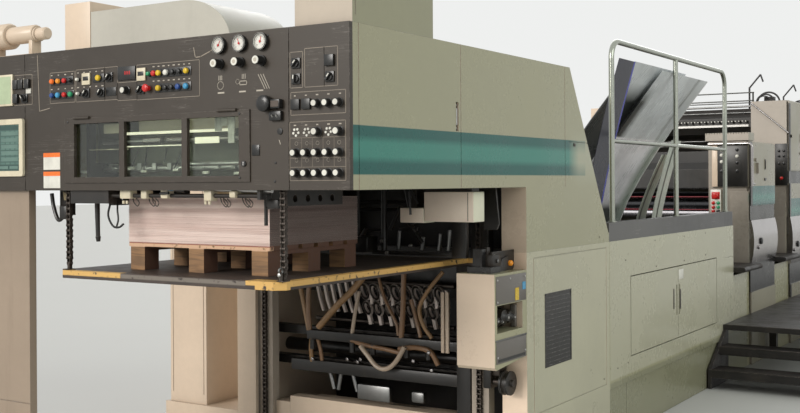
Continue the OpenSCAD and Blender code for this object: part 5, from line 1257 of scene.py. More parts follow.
    def add_borders(self, shape: Shape) -> None:
        """The thin printed borders round the groups of controls."""
        boxes = (
            ((-0.711, 1.922), (-0.541, 2.064)), ((-0.534, 1.921), (-0.345, 2.068)), ((-0.345, 1.921), (-0.262, 2.068)),
            ((-0.262, 1.915), (-0.142, 1.995)), ((-0.142, 1.913), (0.228, 2.066)), ((0.712, 1.921), (0.775, 2.063)),
            ((0.785, 1.921), (0.880, 2.073)), ((0.880, 1.921), (0.945, 2.073)), ((0.715, 1.813), (0.982, 1.903)),
            ((0.709, 1.553), (0.981, 1.785)), ((-0.970, 1.924), (-0.838, 2.067)),
        )
        for low, high in boxes:
            corners = ((low[0], 0.0, low[1]), (high[0], 0.0, low[1]), (high[0], 0.0, high[1]), (low[0], 0.0, high[1]))
            shape.strip(corners, 0.002, FRONT, Finish.PRINT_DIM)
        for z in (1.722, 1.642, 1.606):
            shape.strip([(0.709, 0.0, z), (0.981, 0.0, z)], 0.0015, FRONT, Finish.PRINT_DIM, False)
        for x in (0.768, 0.821, 0.873, 0.926):
            shape.strip([(x, 0.0, 1.606), (x, 0.0, 1.722)], 0.0012, FRONT, Finish.PRINT_DIM, False)
        shape.strip(((0.196, 0.0, 2.118), (0.205, 0.0, 2.077), (0.236, 0.0, 2.079), (0.290, 0.0, 2.098),
                     (0.318, 0.0, 2.112)), 0.004, FRONT, Finish.PRINT_DIM, False)
        shape.strip(((-0.800, 0.0, 2.152), (-0.794, 0.0, 2.038), (-0.787, 0.0, 1.889), (-0.716, 0.0, 1.900)), 0.0032,
                    FRONT, Finish.PRINT_DIM, False)

    def add_symbols(self, shape: Shape) -> None:
        """Small plain printed marks, without any lettering."""
        rng = random.Random(7)
        for z, low, high, count in ((2.052, -0.70, -0.56, 4), (1.987, -0.70, -0.56, 4), (2.054, -0.52, -0.36, 5),
                                    (1.987, -0.52, -0.36, 5), (2.053, -0.04, 0.17, 8), (1.990, -0.04, 0.17, 8),
                                    (1.889, 0.735, 0.955, 5), (1.772, 0.735, 0.955, 5)):
            for i in range(count):
                x = low + (high - low) * i / (count - 1)
                w = 0.004 + 0.003 * rng.random()
                shape.block((x - w, -0.0005, z - 0.0022), (x + w, 0.0, z + 0.0022))
        for z in (1.7, 1.633):
            for i in range(5):
                self.ring(shape, 0.742 + i * 0.052, z, 0.0075, 0.0018)
        self.ring(shape, 0.345, 1.951, 0.0165, 0.003)
        self.ring(shape, 0.438, 1.962, 0.010, 0.0025)
        shape.strip(((0.450, 0.0, 1.948), (0.487, 0.0, 1.948), (0.487, 0.0, 1.963), (0.450, 0.0, 1.963)), 0.003,
                    FRONT)
        for x0 in (0.335, 0.462):
            for i in range(3):
                shape.block((x0 + i * 0.008, -0.0005, 1.972), (x0 + i * 0.008 + 0.003, 0.0, 1.992))
        for x in (0.352, 0.468, 0.560):
            shape.block((x - 0.022, -0.0005, 1.917), (x + 0.014, 0.0, 1.923))
        for i in range(3):
            shape.strip(((0.548 + i * 0.013, 0.0, 1.985), (0.582 + i * 0.012, 0.0, 1.926)), 0.0025, FRONT, None,
                        False)
        shape.strip(((0.655, 0.0, 1.715), (0.661, 0.0, 1.700)), 0.003, FRONT, None, False)

    def ring(self, shape: Shape, x: float, z: float, radius: float, width: float) -> None:
        """A printed ring."""
        shape.strip([(x + radius * math.sin(a), 0.0, z + radius * math.cos(a)) for a in turns(16)], width, FRONT)

    def make_gauges(self) -> None:
        """Black rims, scales and needles of the three pressure gauges."""
        shape = Shape("gauge_faces", Finish.BLACK_PLASTIC)
        for x, turn in ((0.346, 30.0), (0.458, -20.0), (0.570, 15.0)):
            z = self.gauge_height
            shape.lathe((x, 0.0, z), FRONT, ((0.0, 0.0352), (0.0190, 0.0352), (0.0212, 0.0340), (0.0212, 0.0312),
                                             (0.0150, 0.0300), (0.0, 0.0300)), 32, caps=False)
            dial, over_dial = Vector((x, -0.014, z)), Vector((x, -0.0148, z))
            for k in range(self.gauge_ticks):
                way = self.pointing(-135 + k * 13.5)
                inner = 0.021 if k % 5 else 0.0185
                shape.strip([dial + way * inner, dial + way * 0.0255], 0.0012, FRONT, None, False)
            way = self.pointing(turn)
            shape.strip([over_dial - way * 0.007, over_dial + way * 0.019], 0.0022, FRONT, Finish.LAMP_RED, False)
            shape.rod(dial, (x, -0.0175, z), 0.0045, 14, finish=Finish.LAMP_RED)
        shape.done()

    def make_monitor(self) -> None:
        """Plain fields on the monitor's screen."""
        shape = Shape("monitor_fields", Finish.SCREEN_DARK)
        x0, x1, z0, z1 = -1.227, -0.921, 1.611, 1.831
        shape.block((x0 + 0.004, -0.0088, z1 - 0.024), (x1 - 0.004, -0.008, z1 - 0.004))
        shape.block((x0 + 0.004, -0.0088, z0 + 0.004), (x1 - 0.004, -0.008, z0 + 0.026))
        for i in range(4):
            x = x0 + 0.012 + i * 0.073
            shape.block((x, -0.0092, z0 + 0.008), (x + 0.062, -0.0086, z0 + 0.022), finish=Finish.SCREEN_PALE)
        for i in range(5):
            z = z0 + 0.045 + i * 0.031
            shape.block((x0 + 0.012, -0.0088, z), (x0 + 0.15, -0.008, z + 0.002), finish=Finish.SCREEN_PALE)
            shape.block((x0 + 0.17, -0.0088, z), (x1 - 0.012, -0.008, z + 0.018), finish=Finish.SCREEN_PALE)
        shape.done()


@dataclass(frozen=True)
class WindowInterior:
    """What shows behind the panes: a dim back wall, glowing cream panels and pale strips that are painted light,
    rollers, guides and loose sheets.
    """

    wall: float = 0.30
    # The depth of the glowing strips, which are painted light.
    lamp: float = 0.12

    def build(self) -> None:
        """Makes the wall, the glowing panels and strips of painted light, the rollers and the small guides."""
        shape = Shape("window_interior", Finish.INNER_DIM)
        shape.block((-0.72, self.wall, 1.55), (0.52, self.wall + 0.008, 1.86))
        y = self.lamp
        # Painted light: the cream panels and the pale strips below glow.
        shape.block((-0.335, y + 0.08, 1.786), (0.40, y + 0.10, 1.862), finish=Finish.INNER_CREAM_GLOWING)
        shape.block((-0.485, y, 1.778), (-0.378, y + 0.01, 1.822), 0.004, Finish.INNER_CREAM_GLOWING)
        shape.block((-0.340, y, 1.768), (0.30, y + 0.014, 1.780), 0.003, Finish.INNER_PAINTED_LIGHT)
        shape.block((-0.340, y, 1.7125), (0.011, y + 0.008, 1.7165), finish=Finish.INNER_PAINTED_LIGHT)
        shape.block((0.082, y + 0.005, 1.719), (0.222, y + 0.012, 1.747), 0.003, Finish.INNER_PAINTED_LIGHT)
        for x, low, high in ((0.222, 1.768, 1.832), (0.252, 1.790, 1.830), (0.296, 1.715, 1.832)):
            shape.block((x, y - 0.02, low), (x + 0.038, y - 0.014, high), 0.003, Finish.CAP_WHITE)
        for x in (-0.21, -0.06):
            shape.rod((x - 0.055, y + 0.05, 1.742), (x + 0.055, y + 0.05, 1.742), 0.017, 20, finish=Finish.CHROME)
        shape.rod((-0.56, y + 0.07, 1.742), (0.45, y + 0.07, 1.742), 0.012, 16, finish=Finish.STEEL)
        shape.rod((0.10, y - 0.04, 1.628), (0.40, y - 0.04, 1.630), 0.009, 16, finish=Finish.STEEL)
        shape.block((-0.60, y, 1.702), (-0.32, y + 0.004, 1.706), finish=Finish.INNER_CREAM_GLOWING)
        for low, high in (((-0.138, 1.707), (-0.161, 1.601)), ((0.068, 1.689), (0.024, 1.608)),
                          ((-0.20, 1.69), (-0.235, 1.62)), ((-0.02, 1.70), (-0.035, 1.64))):
            shape.rod((low[0], 0.06, low[1]), (high[0], 0.06, high[1]), 0.0024, 8, finish=Finish.CYLINDER)
        for x, z in ((-0.158, 1.600), (0.036, 1.604), (-0.235, 1.615), (0.21, 1.59), (0.385, 1.586), (-0.55, 1.60)):
            shape.block((x - 0.017, 0.052, z - 0.006), (x + 0.017, 0.064, z + 0.006), 0.003, Finish.CAP_WHITE)
        shape.block((-0.60, 0.10, 1.560), (0.50, 0.29, 1.572), finish=Finish.CAST)
        shape.done()


@dataclass(frozen=True)
class FrontFittings:
    """The clips, wires and hanging rods under the window."""

    rod_y: float = 0.046
    rod_z: float = 1.491

    def build(self) -> None:
        """Makes the fittings that hang on the front rod."""
        shape = Shape("front_fittings", Finish.BEZEL)
        y, z = self.rod_y, self.rod_z
        for x, low, high, w in ((-0.245, -0.014, 0.040, 0.034), (-0.107, 0.026, 0.062, 0.020),
                                (-0.130, -0.014, 0.028, 0.018), (-0.006, -0.012, 0.062, 0.021),
                                (0.247, -0.022, 0.026, 0.022), (0.404, 0.034, 0.064, 0.022),
                                (0.384, -0.008, 0.022, 0.017)):
            shape.block((x - w, y - 0.024, z + low), (x + w, y + 0.020, z + high), 0.006)
        for x in (-0.245, 0.247):
            for dx in (-0.012, 0.010):
                shape.rod((x + dx, y - 0.02, z - 0.022), (x + dx, y - 0.02, z - 0.036), 0.006, 10)
        shape.block((0.020, y - 0.030, z + 0.022), (0.056, y + 0.012, z + 0.054), 0.004, Finish.LAMP_BLUE)
        shape.rod((0.056, y - 0.012, z + 0.034), (0.118, y - 0.012, z + 0.030), 0.019, 18, finish=Finish.BLACK_PLASTIC)
        shape.rod((0.118, y, z + 0.030), (0.580, y, z + 0.020), 0.0085, 16, finish=Finish.STEEL)
        shape.rod((-0.02, y - 0.03, z + 0.01), (0.03, y - 0.03, z + 0.012), 0.006, 12, finish=Finish.BLACK_PLASTIC)
        for x in (-0.22, -0.12, -0.10, 0.30, 0.315, 0.42, 0.435):
            self.add_spring(shape, x)
        dark = Finish.BLACK_PAINT
        shape.rod((-0.512, 0.10, 1.455), (-0.505, 0.10, 1.295), 0.0105, 12, finish=dark)
        shape.rod((-0.505, 0.10, 1.30), (-0.503, 0.10, 1.276), 0.013, 12, 0.009, dark)
        shape.tube(((-0.42, 0.10, 1.46), (-0.415, 0.08, 1.40), (-0.385, 0.08, 1.352), (-0.345, 0.08, 1.346),
                    (-0.325, 0.09, 1.362)), 0.0048, 8, finish=Finish.HOSE_BLACK)
        shape.tube(((-0.375, 0.10, 1.46), (-0.365, 0.09, 1.42), (-0.355, 0.085, 1.38), (-0.362, 0.08, 1.345)),
                   0.0042, 8, finish=Finish.HOSE_BLACK)
        shape.tube(((-0.812, 0.09, 1.50), (-0.800, 0.09, 1.44), (-0.765, 0.085, 1.378), (-0.735, 0.085, 1.382),
                    (-0.700, 0.09, 1.425), (-0.690, 0.09, 1.47)), 0.0095, 10, finish=dark)
        shape.block((-0.738, 0.07, 1.378), (-0.690, 0.10, 1.442), 0.006, dark)
        shape.block((-0.632, 0.05, 1.512), (-0.526, 0.10, 1.552), 0.004, Finish.OLIVE)
        shape.prism([(-0.70, 0.06, 1.51), (-0.60, 0.06, 1.485), (-0.58, 0.06, 1.475), (-0.69, 0.06, 1.468)],
                    (0.0, 0.05, 0.0), Finish.OLIVE)
        shape.block((0.520, 0.085, 1.438), (0.577, 0.155, 1.476), 0.004, dark)
        shape.rod((0.485, 0.12, 1.437), (0.525, 0.12, 1.437), 0.003, 8, finish=dark)
        shape.done()

    def add_spring(self, shape: Shape, x: float) -> None:
        """A small loop of spring wire under the rod."""
        y, z = self.rod_y, self.rod_z
        shape.tube(((x, y, z - 0.008), (x + 0.018, y - 0.01, z - 0.030), (x + 0.042, y - 0.012, z - 0.046),
                    (x + 0.050, y - 0.01, z - 0.030), (x + 0.022, y, z - 0.012)), 0.0026, 6, 4,
                   Finish.STEEL_DARK)


@dataclass(frozen=True)
class SideCovers:
    """The sunk handle, the screws, the catch and the dark vent on the operator side of the delivery."""

    side: float = HALF_WIDTH
    lines: int = 16
    line_pitch: float = 0.0225

    def build(self) -> None:
        """Makes the handle with two screws, two screws on the seams, the catch, and the vent with its frame."""
        shape = Shape("side_cover_fittings", Finish.STEEL_DARK)
        x = self.side
        shape.block((x - 0.0095, 0.8285, 1.7725), (x - 0.0085, 0.8515, 1.9015))
        shape.rod((x - 0.005, 0.840, 1.80), (x - 0.005, 0.840, 1.875), 0.004, 12, finish=Finish.STEEL)
        for y, z in ((0.840, 1.786), (0.840, 1.889)):
            screw_head(shape, (x - 0.0085, y, z), SIDE, 0.006, Finish.STEEL)
        for y, z in ((2.50, 1.22), (2.56, 0.39)):
            screw_head(shape, (x, y, z), SIDE, 0.0045)
        shape.block((x - 0.002, 2.135, 1.735), (x + 0.003, 2.16, 1.752), 0.001)
        shape.done()
        back = Shape("vent_louvre_shade", Finish.BLACK_PAINT)
        back.block((x - 0.0118, 1.7605, 0.5805), (x - 0.0002, 2.0845, 0.9495))
        for i in range(self.lines):
            z = i * self.line_pitch
            back.block((x - 0.0004, 1.768, 0.592 + z), (x + 0.0008, 2.077, 0.596 + z))
        for low, high in (((1.752, 0.574), (1.7605, 0.956)), ((2.0845, 0.574), (2.093, 0.956)),
                          ((1.752, 0.572), (2.093, 0.5805)), ((1.752, 0.9495), (2.093, 0.958))):
            back.block((x - 0.001, *low), (x + 0.0015, *high))
        back.done()


@dataclass(frozen=True)
class PileFittings:
    """The eye bolt, edge strips and loose sheets of the pile."""

    board_high: float = 1.145
    pile_high: float = 1.478
    sheets: int = 26
    sheet_pitch: float = 0.0078

    def build(self) -> None:
        """Makes the small parts that ride on the pile."""
        shape = Shape("pile_fittings", Finish.STEEL, "pile")
        shape.rod((0.642, 0.02, self.board_high), (0.642, 0.02, self.board_high + 0.035), 0.009, 16,
                  finish=Finish.STEEL_DARK)
        ring = [(0.642, 0.02 + 0.012 * math.cos(a), self.board_high + 0.044 + 0.012 * math.sin(a))
                for a in (*turns(16), 2 * math.pi)]
        shape.tube(ring, 0.004, 8, 1, Finish.TRIM_STEEL)
        screw_head(shape, (0.642, 0.010, self.board_high + 0.028), FRONT, 0.009)
        for x in (-0.632, 0.642):
            shape.block((x - 0.018, 0.014, self.board_high), (x + 0.018, 0.060, self.board_high + 0.005), 0.001,
                        Finish.STEEL_DARK)
        shape.done()
        paper = Shape("loose_sheets", Finish.PAPER, "pile")
        rng = random.Random(11)
        z = self.pile_high
        for i in range(self.sheets):
            low = 1.276 + i * self.sheet_pitch
            out = 0.0012 + 0.004 * rng.random()
            paper.block((-0.400 - 0.002 * rng.random(), 0.195 - out, low), (0.443 + out, 0.85, low + 0.0022))
        paper.block((-0.402, 0.193, z), (0.445, 0.852, z + 0.0015))
        paper.done()


@dataclass(frozen=True)
class BayMechanism:
    """Hoses, castings, screws and bars in the dark bay under the housing."""

    face: float = 1.62
    castings: int = 8
    casting_pitch: float = 0.071
    arms: int = 6
    arm_pitch: float = 0.052
    lean: float = 0.35

    def build(self) -> None:
        """Makes the hoses, the row of castings and the small bright parts."""
        self.make_hoses()
        self.make_castings()
        self.make_bars()

    def make_hoses(self) -> None:
        """The aged air hoses between the castings and the manifold, in place of the straight ones."""
        y = self.face
        hoses = Shape("bay_hoses", Finish.HOSE_YELLOW)
        runs = (
            (((-0.499, 0.0, 0.950), (-0.470, 0.0, 0.830), (-0.436, 0.0, 0.690)), 0.014, None),
            (((-0.438, 0.006, 0.960), (-0.440, 0.0, 0.82), (-0.430, 0.0, 0.690)), 0.015, Finish.HOSE_TAN),
            (((-0.040, 0.02, 1.040), (-0.120, 0.0, 0.940), (-0.230, -0.01, 0.840), (-0.366, 0.0, 0.710)), 0.019, None),
            (((-0.088, 0.01, 0.930), (-0.110, 0.0, 0.80), (-0.130, 0.0, 0.690)), 0.011, Finish.HOSE_PALE),
            (((0.218, 0.0, 1.060), (0.212, 0.0, 0.87), (0.199, 0.0, 0.690)), 0.015, Finish.HOSE_TAN),
            (((0.455, 0.02, 1.060), (0.375, 0.0, 0.960), (0.322, -0.008, 0.860), (0.345, -0.008, 0.770),
              (0.395, 0.0, 0.700)), 0.011, None),
            (((0.030, 0.02, 1.040), (0.085, 0.01, 0.900), (0.165, 0.0, 0.770), (0.180, 0.0, 0.700)), 0.009,
             Finish.HOSE_TAN),
            (((0.255, 0.015, 0.900), (0.290, 0.01, 0.800), (0.325, 0.0, 0.700)), 0.012, Finish.HOSE_TAN),
            (((-0.417, 0.0, 0.640), (-0.419, -0.004, 0.580), (-0.414, 0.0, 0.510)), 0.013, Finish.HOSE_YELLOW),
            (((-0.372, 0.0, 0.640), (-0.352, -0.004, 0.590), (-0.342, 0.0, 0.520)), 0.011, Finish.HOSE_TAN),
            (((-0.140, 0.0, 0.650), (-0.02, -0.015, 0.632), (0.110, -0.02, 0.622), (0.214, -0.02, 0.607)), 0.012,
             Finish.HOSE_TAN),
            (((0.190, -0.01, 0.628), (0.300, -0.02, 0.646), (0.395, -0.02, 0.630), (0.440, -0.01, 0.560)), 0.014,
             Finish.HOSE_TAN),
            (((-0.038, -0.05, 0.632), (0.012, -0.06, 0.590), (0.075, -0.062, 0.532), (0.135, -0.062, 0.522),
              (0.195, -0.06, 0.560), (0.252, -0.05, 0.650)), 0.013, Finish.HOSE_PALE),
        )
        for points, radius, finish in runs:
            hoses.tube([(x, y + dy, z) for x, dy, z in points], radius, 10, finish=finish)
        hoses.done("air_hoses")

    def make_castings(self) -> None:
        """The row of pale castings with oval holes, which hang in front of the rear wall."""
        y = self.face + 0.055
        shape = Shape("comb_castings", Finish.COMB)
        for i in range(self.castings):
            x = -0.085 + i * self.casting_pitch
            for centre, height, half_w, half_h, width in ((x, 0.925, 0.026, 0.040, 0.015),
                                                          (x + 0.020, 0.832, 0.020, 0.032, 0.013)):
                oval = [(centre + half_w * math.cos(a) - self.lean * half_h * math.sin(a), y,
                         height + half_h * math.sin(a)) for a in turns(16)]
                shape.strip(oval, width, (0.0, 1.0, 0.0), depth=0.022)
            shape.prism(((x + 0.018, y, 0.800), (x + 0.040, y, 0.795), (x + 0.052, y, 0.742), (x + 0.034, y, 0.740)),
                        (0.0, 0.022, 0.0))
            shape.prism(((x + 0.030, y + 0.004, 0.958), (x + 0.048, y + 0.004, 0.950), (x + 0.058, y + 0.004, 0.86),
                         (x + 0.040, y + 0.004, 0.85)), (0.0, 0.016, 0.0))
        for i in range(self.arms):
            x = -0.400 + i * self.arm_pitch
            shape.prism(((x - 0.035, y, 0.985), (x - 0.022, y, 0.990), (x + 0.008, y, 0.870), (x + 0.034, y, 0.800),
                         (x + 0.020, y, 0.798), (x - 0.006, y, 0.865)), (0.0, 0.020, 0.0))
        shape.rod((-0.44, y + 0.03, 0.978), (0.49, y + 0.03, 0.978), 0.014, 14, finish=Finish.STEEL_DARK)
        shape.rod((-0.44, y + 0.03, 0.752), (0.49, y + 0.03, 0.752), 0.012, 14, finish=Finish.STEEL_DARK)
        shape.done("suction_combs")

    def make_bars(self) -> None:
        """The manifold, the lower bar, bright screws, white strips, and dark posts at both ends that are painted shade
        for the shaded gaps beside the columns.
        """
        y = self.face
        dark = Shape("bay_bars", Finish.BLACK_PAINT)
        dark.block((-0.445, y - 0.012, 0.639), (0.655, y + 0.045, 0.692), 0.004)
        dark.block((-0.560, y - 0.010, 0.453), (0.660, y + 0.045, 0.518), 0.004)
        # Painted shade: the two dark posts stand for the shaded gaps beside the columns.
        dark.block((-0.874, 1.562, 0.0), (-0.812, 1.62, 1.105), 0.003)
        dark.block((0.572, 1.575, 0.0), (0.655, 1.618, 1.105), 0.003)
        for x in (-0.40, -0.12, 0.02, 0.24, 0.38):
            dark.rod((x, y - 0.012, 0.585), (x, y - 0.012, 0.640), 0.016, 12)
        dark.block((-0.10, y, 0.32), (0.12, y + 0.03, 0.41), 0.01, Finish.TRIM_STEEL)
        dark.block((0.26, y, 0.34), (0.34, y + 0.03, 0.40), 0.01, Finish.TRIM_STEEL)
        for x, turn in ((-0.30, 0.03), (-0.22, -0.02), (-0.14, 0.03)):
            dark.rod((x, y + 0.02, 0.46), (x + turn, y + 0.02, 0.36), 0.012, 10, finish=Finish.TRIM_STEEL)
        for x in (0.462, 0.490):
            dark.block((x, 1.600, 0.630), (x + 0.020, 1.615, 0.955), 0.002, Finish.CREAM)
        dark.block((-0.800, 1.563, 0.061), (-0.767, 1.62, 1.105), 0.003, Finish.COLUMN)
        dark.block((-0.682, 1.6015, 0.0), (-0.5605, 1.88, 0.262), 0.003, Finish.CREAM)
        for x, z in ((-0.385, 0.530), (-0.140, 0.548), (-0.070, 0.540), (-0.050, 0.555), (0.297, 0.575),
                     (0.412, 0.535), (0.395, 0.628)):
            dark.lathe((x, y - 0.030, z), FRONT, ((0.0, 0.010), (0.008, 0.010), (0.011, 0.006)), 12,
                       Finish.CHROME)
            dark.rod((x, y - 0.030, z), (x, y + 0.02, z - 0.02), 0.005, 8, finish=Finish.STEEL_DARK)
        dark.done()


@dataclass(frozen=True)
class DeliveryUnderside:
    """The cross box and the dark guards that hang behind it, over the rear end of the pile board."""

    near: float = 1.10
    far: float = 1.21

    def build(self) -> None:
        """Makes the cross box with its step, and the brackets and rods behind it."""
        box = Shape("cross_box_body", Finish.CROSS_BOX)
        box.block((0.664, self.near, 1.352), (0.938, self.far, 1.497), 0.004)
        box.block((0.526, self.near, 1.345), (0.662, self.far, 1.418), 0.004)
        box.block((0.906, self.near - 0.0008, 1.358), (0.9085, self.near + 0.001, 1.492), finish=Finish.BLACK_PAINT)
        box.block((0.580, self.near + 0.02, 1.4185), (0.610, self.far - 0.02, 1.556), finish=Finish.BLACK_PAINT)
        box.block((0.690, self.near + 0.02, 1.4975), (0.920, self.far - 0.02, 1.556), finish=Finish.BLACK_PAINT)
        box.rod((0.60, self.near - 0.03, 1.50), (0.606, self.near - 0.03, 1.385), 0.006, 10,
                finish=Finish.HOSE_BLACK)
        box.rod((0.605, self.near - 0.03, 1.51), (0.648, self.near - 0.028, 1.440), 0.005, 10,
                finish=Finish.HOSE_BLACK)
        box.done("cross_box")
        dark = Shape("rear_guards", Finish.BLACK_PAINT)
        y = 1.30
        dark.prism(((0.862, 1.35, 1.514), (0.925, 1.35, 1.514), (0.943, 1.35, 1.335), (0.930, 1.35, 1.308),
                    (0.862, 1.35, 1.306)), (0.0, 0.012, 0.0))
        dark.block((0.715, y - 0.02, 1.165), (0.797, y + 0.01, 1.514), 0.003)
        dark.block((0.227, y - 0.005, 1.170), (0.715, y + 0.015, 1.190), 0.002)
        dark.block((0.399, y - 0.01, 1.296), (0.510, y + 0.01, 1.314), 0.002)
        for a, b, r in (((0.455, 1.335), (0.531, 1.235), 0.012), ((0.190, 1.290), (0.300, 1.300), 0.009),
                        ((0.030, 1.514), (0.030, 1.180), 0.012), ((0.140, 1.514), (0.140, 1.180), 0.008),
                        ((0.300, 1.514), (0.300, 1.190), 0.014), ((0.405, 1.420), (0.340, 1.300), 0.012),
                        ((0.440, 1.514), (0.480, 1.330), 0.015), ((0.190, 1.300), (0.150, 1.250), 0.012)):
            dark.rod((a[0], y, a[1]), (b[0], y, b[1]), r, 12)
        for x, z in ((0.300, 1.240), (0.475, 1.220), (0.330, 1.18)):
            dark.rod((x, y - 0.012, z), (x, y - 0.028, z), 0.009, 12, finish=Finish.STEEL)
        for x, low, high in ((0.355, 1.195, 1.292), (0.500, 1.195, 1.262), (0.600, 1.195, 1.280),
                             (0.655, 1.195, 1.300)):
            dark.rod((x, y + 0.05, low), (x + 0.01, y + 0.05, high), 0.010, 10, finish=Finish.TRIM_STEEL)
        dark.block((0.150, y - 0.05, 1.180), (0.228, y + 0.05, 1.262), 0.004)
        for z in (1.40, 1.44):
            dark.rod((-0.30, y + 0.10, z), (0.66, y + 0.10, z), 0.010, 12)
        dark.done()


@dataclass(frozen=True)
class RoofFittings:
    """The rounded hood and the small blower on the drive side of the roof."""

    roof: float = 2.165
    hood_near: float = 0.78
    hood_length: float = 0.50
    arc_steps: int = 12

    def build(self) -> None:
        """Makes the hood with its cream band, and the blower on its feet."""
        self.make_hood()
        self.make_blower()

    def make_hood(self) -> None:
        """The grey hood, rounded towards the operator side."""
        top, left, right, corner = 2.505, -1.309, -0.286, (0.335, 0.235)
        arc = [(right - corner[0] * (1 - math.sin(a)), self.hood_near, top - corner[1] * (1 - math.cos(a)))
               for a in (math.pi / 2 * k / self.arc_steps for k in range(self.arc_steps + 1))]
        hood = Shape("hood_body", Finish.PALE_GREY)
        hood.prism([(left, self.hood_near, self.roof), (left, self.hood_near, top)] + arc
                   + [(right, self.hood_near, self.roof)], (0.0, self.hood_length, 0.0))
        hood.block((left - 0.21, self.hood_near - 0.004, self.roof),
                   (left - 0.002, self.hood_near + self.hood_length, top + 0.06), 0.004, Finish.CREAM)
        for x in (left + 0.03, right - 0.05):
            screw_head(hood, (x, self.hood_near, self.roof + 0.05), FRONT, 0.007, Finish.STEEL_DARK)
        hood.done("exhaust_hood")

    def make_blower(self) -> None:
        """The drum of the blower, its stepped outlet and its feet."""
        y, z = 0.085, self.roof + 0.110
        blower = Shape("blower_body", Finish.CREAM)
        blower.lathe((-1.300, y, z), SIDE, ((0.0, 0.056), (0.010, 0.064), (0.200, 0.064), (0.212, 0.056)), 32)
        blower.lathe((-1.090, y, z), SIDE, ((0.0, 0.043), (0.180, 0.043), (0.188, 0.038)), 28)
        blower.lathe((-0.905, y, z - 0.004), SIDE, ((0.0, 0.030), (0.070, 0.030), (0.078, 0.024)), 24)
        blower.lathe((-0.9, y, z - 0.004), SIDE, ((0.0, 0.036), (0.010, 0.036)), 24)
        blower.lathe((-1.125, y - 0.052, z + 0.004), FRONT, ((0.0, 0.024), (0.016, 0.023), (0.017, 0.014)), 20,
                     Finish.STEEL_DARK)
        for x in (-1.20, -0.935):
            blower.block((x, y - 0.028, self.roof), (x + 0.026, y + 0.028, z - 0.030), 0.003)
        blower.block((-1.23, y - 0.04, self.roof), (-0.90, y + 0.04, self.roof + 0.010), 0.002)
        blower.done("blower")


@dataclass(frozen=True)
class SideBox:
    """The open drive box at the operator side of the pile bay, with its lamp bracket and hand wheel."""

    side: float = HALF_WIDTH
    near: float = 1.190
    far: float = 1.540

    def build(self) -> None:
        """Makes the mechanism in the dark opening, the trim, the bracket above and the hand wheel below."""
        x = self.side
        trim = Shape("side_box_trim", Finish.STEEL)
        trim.block((x - 0.012, self.near + 0.006, 0.776), (x + 0.004, self.far - 0.010, 0.784), 0.001,
                   Finish.TRIM_STEEL)
        trim.block((x - 0.004, self.near + 0.012, 0.668), (x + 0.003, self.far - 0.012, 0.776), 0.002, Finish.BOX_GREY)
        trim.block((x + 0.002, self.near + 0.030, 0.676), (x + 0.0045, self.far - 0.03, 0.690), 0.0,
                   Finish.BLACK_PLASTIC)
        trim.block((x - 0.004, self.near + 0.012, 0.952), (x + 0.003, self.far - 0.012, 1.088), 0.002,
                   Finish.BOX_GREY)
        trim.block((x + 0.002, 1.403, 0.958), (x + 0.0042, 1.444, 1.020), finish=Finish.LAMP_YELLOW)
        trim.block((x + 0.002, 1.484, 1.006), (x + 0.0042, 1.520, 1.044), finish=Finish.LAMP_BLUE)
        for y, z in ((1.215, 1.07), (1.515, 1.07), (1.215, 0.965), (1.35, 1.07), (1.215, 0.70), (1.515, 0.70)):
            screw_head(trim, (x + 0.003, y, z), SIDE, 0.006)
        for y, z, r in ((1.25, 0.870, 0.030), (1.300, 0.862, 0.020), (1.36, 0.878, 0.036), (1.43, 0.872, 0.030)):
            trim.lathe((x - 0.085, y, z), SIDE, ((0.0, r), (0.050, r), (0.056, r * 0.7), (0.070, r * 0.45),
                                                       (0.072, r * 0.2)), 20, Finish.BLACK_PAINT)
            trim.lathe((x - 0.013, y, z), SIDE, ((0.0, r * 0.2), (0.004, r * 0.16)), 12)
        trim.block((x - 0.14, 1.225, 0.818), (x - 0.10, 1.485, 0.930), 0.003, Finish.BLACK_PAINT)
        trim.block((x - 0.06, 1.470, 0.818), (x - 0.03, 1.488, 0.930), 0.003, Finish.BOX_GREY)
        trim.done()
        bracket = Shape("lamp_bracket", Finish.BLACK_PAINT)
        bx = 0.930
        bracket.prism(((bx, 1.306, 1.10), (bx, 1.524, 1.10), (bx, 1.603, 1.17), (bx, 1.60, 1.20), (bx, 1.306, 1.20)),
                      (-0.012, 0.0, 0.0))
        bracket.block((0.87, 1.290, 1.125), (0.938, 1.385, 1.186), 0.006)
        bracket.block((0.885, 1.300, 1.18), (0.905, 1.330, 1.222), 0.004)
        bracket.block((0.87, 1.285, 1.10), (0.935, 1.40, 1.126), 0.003)
        bracket.lathe((bx, 1.488, 1.135), SIDE, ((0.0, 0.014), (0.012, 0.014), (0.018, 0.008)), 18,
                      Finish.LAMP_AMBER)
        bracket.lathe((0.938, 1.335, 1.155), SIDE, ((0.0, 0.010), (0.008, 0.010), (0.010, 0.005)), 14,
                      Finish.TRIM_STEEL)
        bracket.done()
        lower = Shape("side_box_under", Finish.BLACK_PAINT)
        lower.lathe((0.90, 1.473, 0.533), SIDE, ((0.0, 0.061), (0.012, 0.061), (0.014, 0.052), (0.030, 0.052),
                    (0.032, 0.061), (0.044, 0.061), (0.046, 0.020), (0.058, 0.018)), 36)
        lower.rod((0.80, 1.473, 0.533), (0.90, 1.473, 0.533), 0.016, 16, finish=Finish.STEEL_DARK)
        lower.block((0.80, 1.44, 0.50), (0.845, 1.55, 0.66), 0.006)
        lower.block((0.845, 1.455, 0.565), (0.888, 1.535, 0.65), 0.006, Finish.STEEL_DARK)
        lower.done()


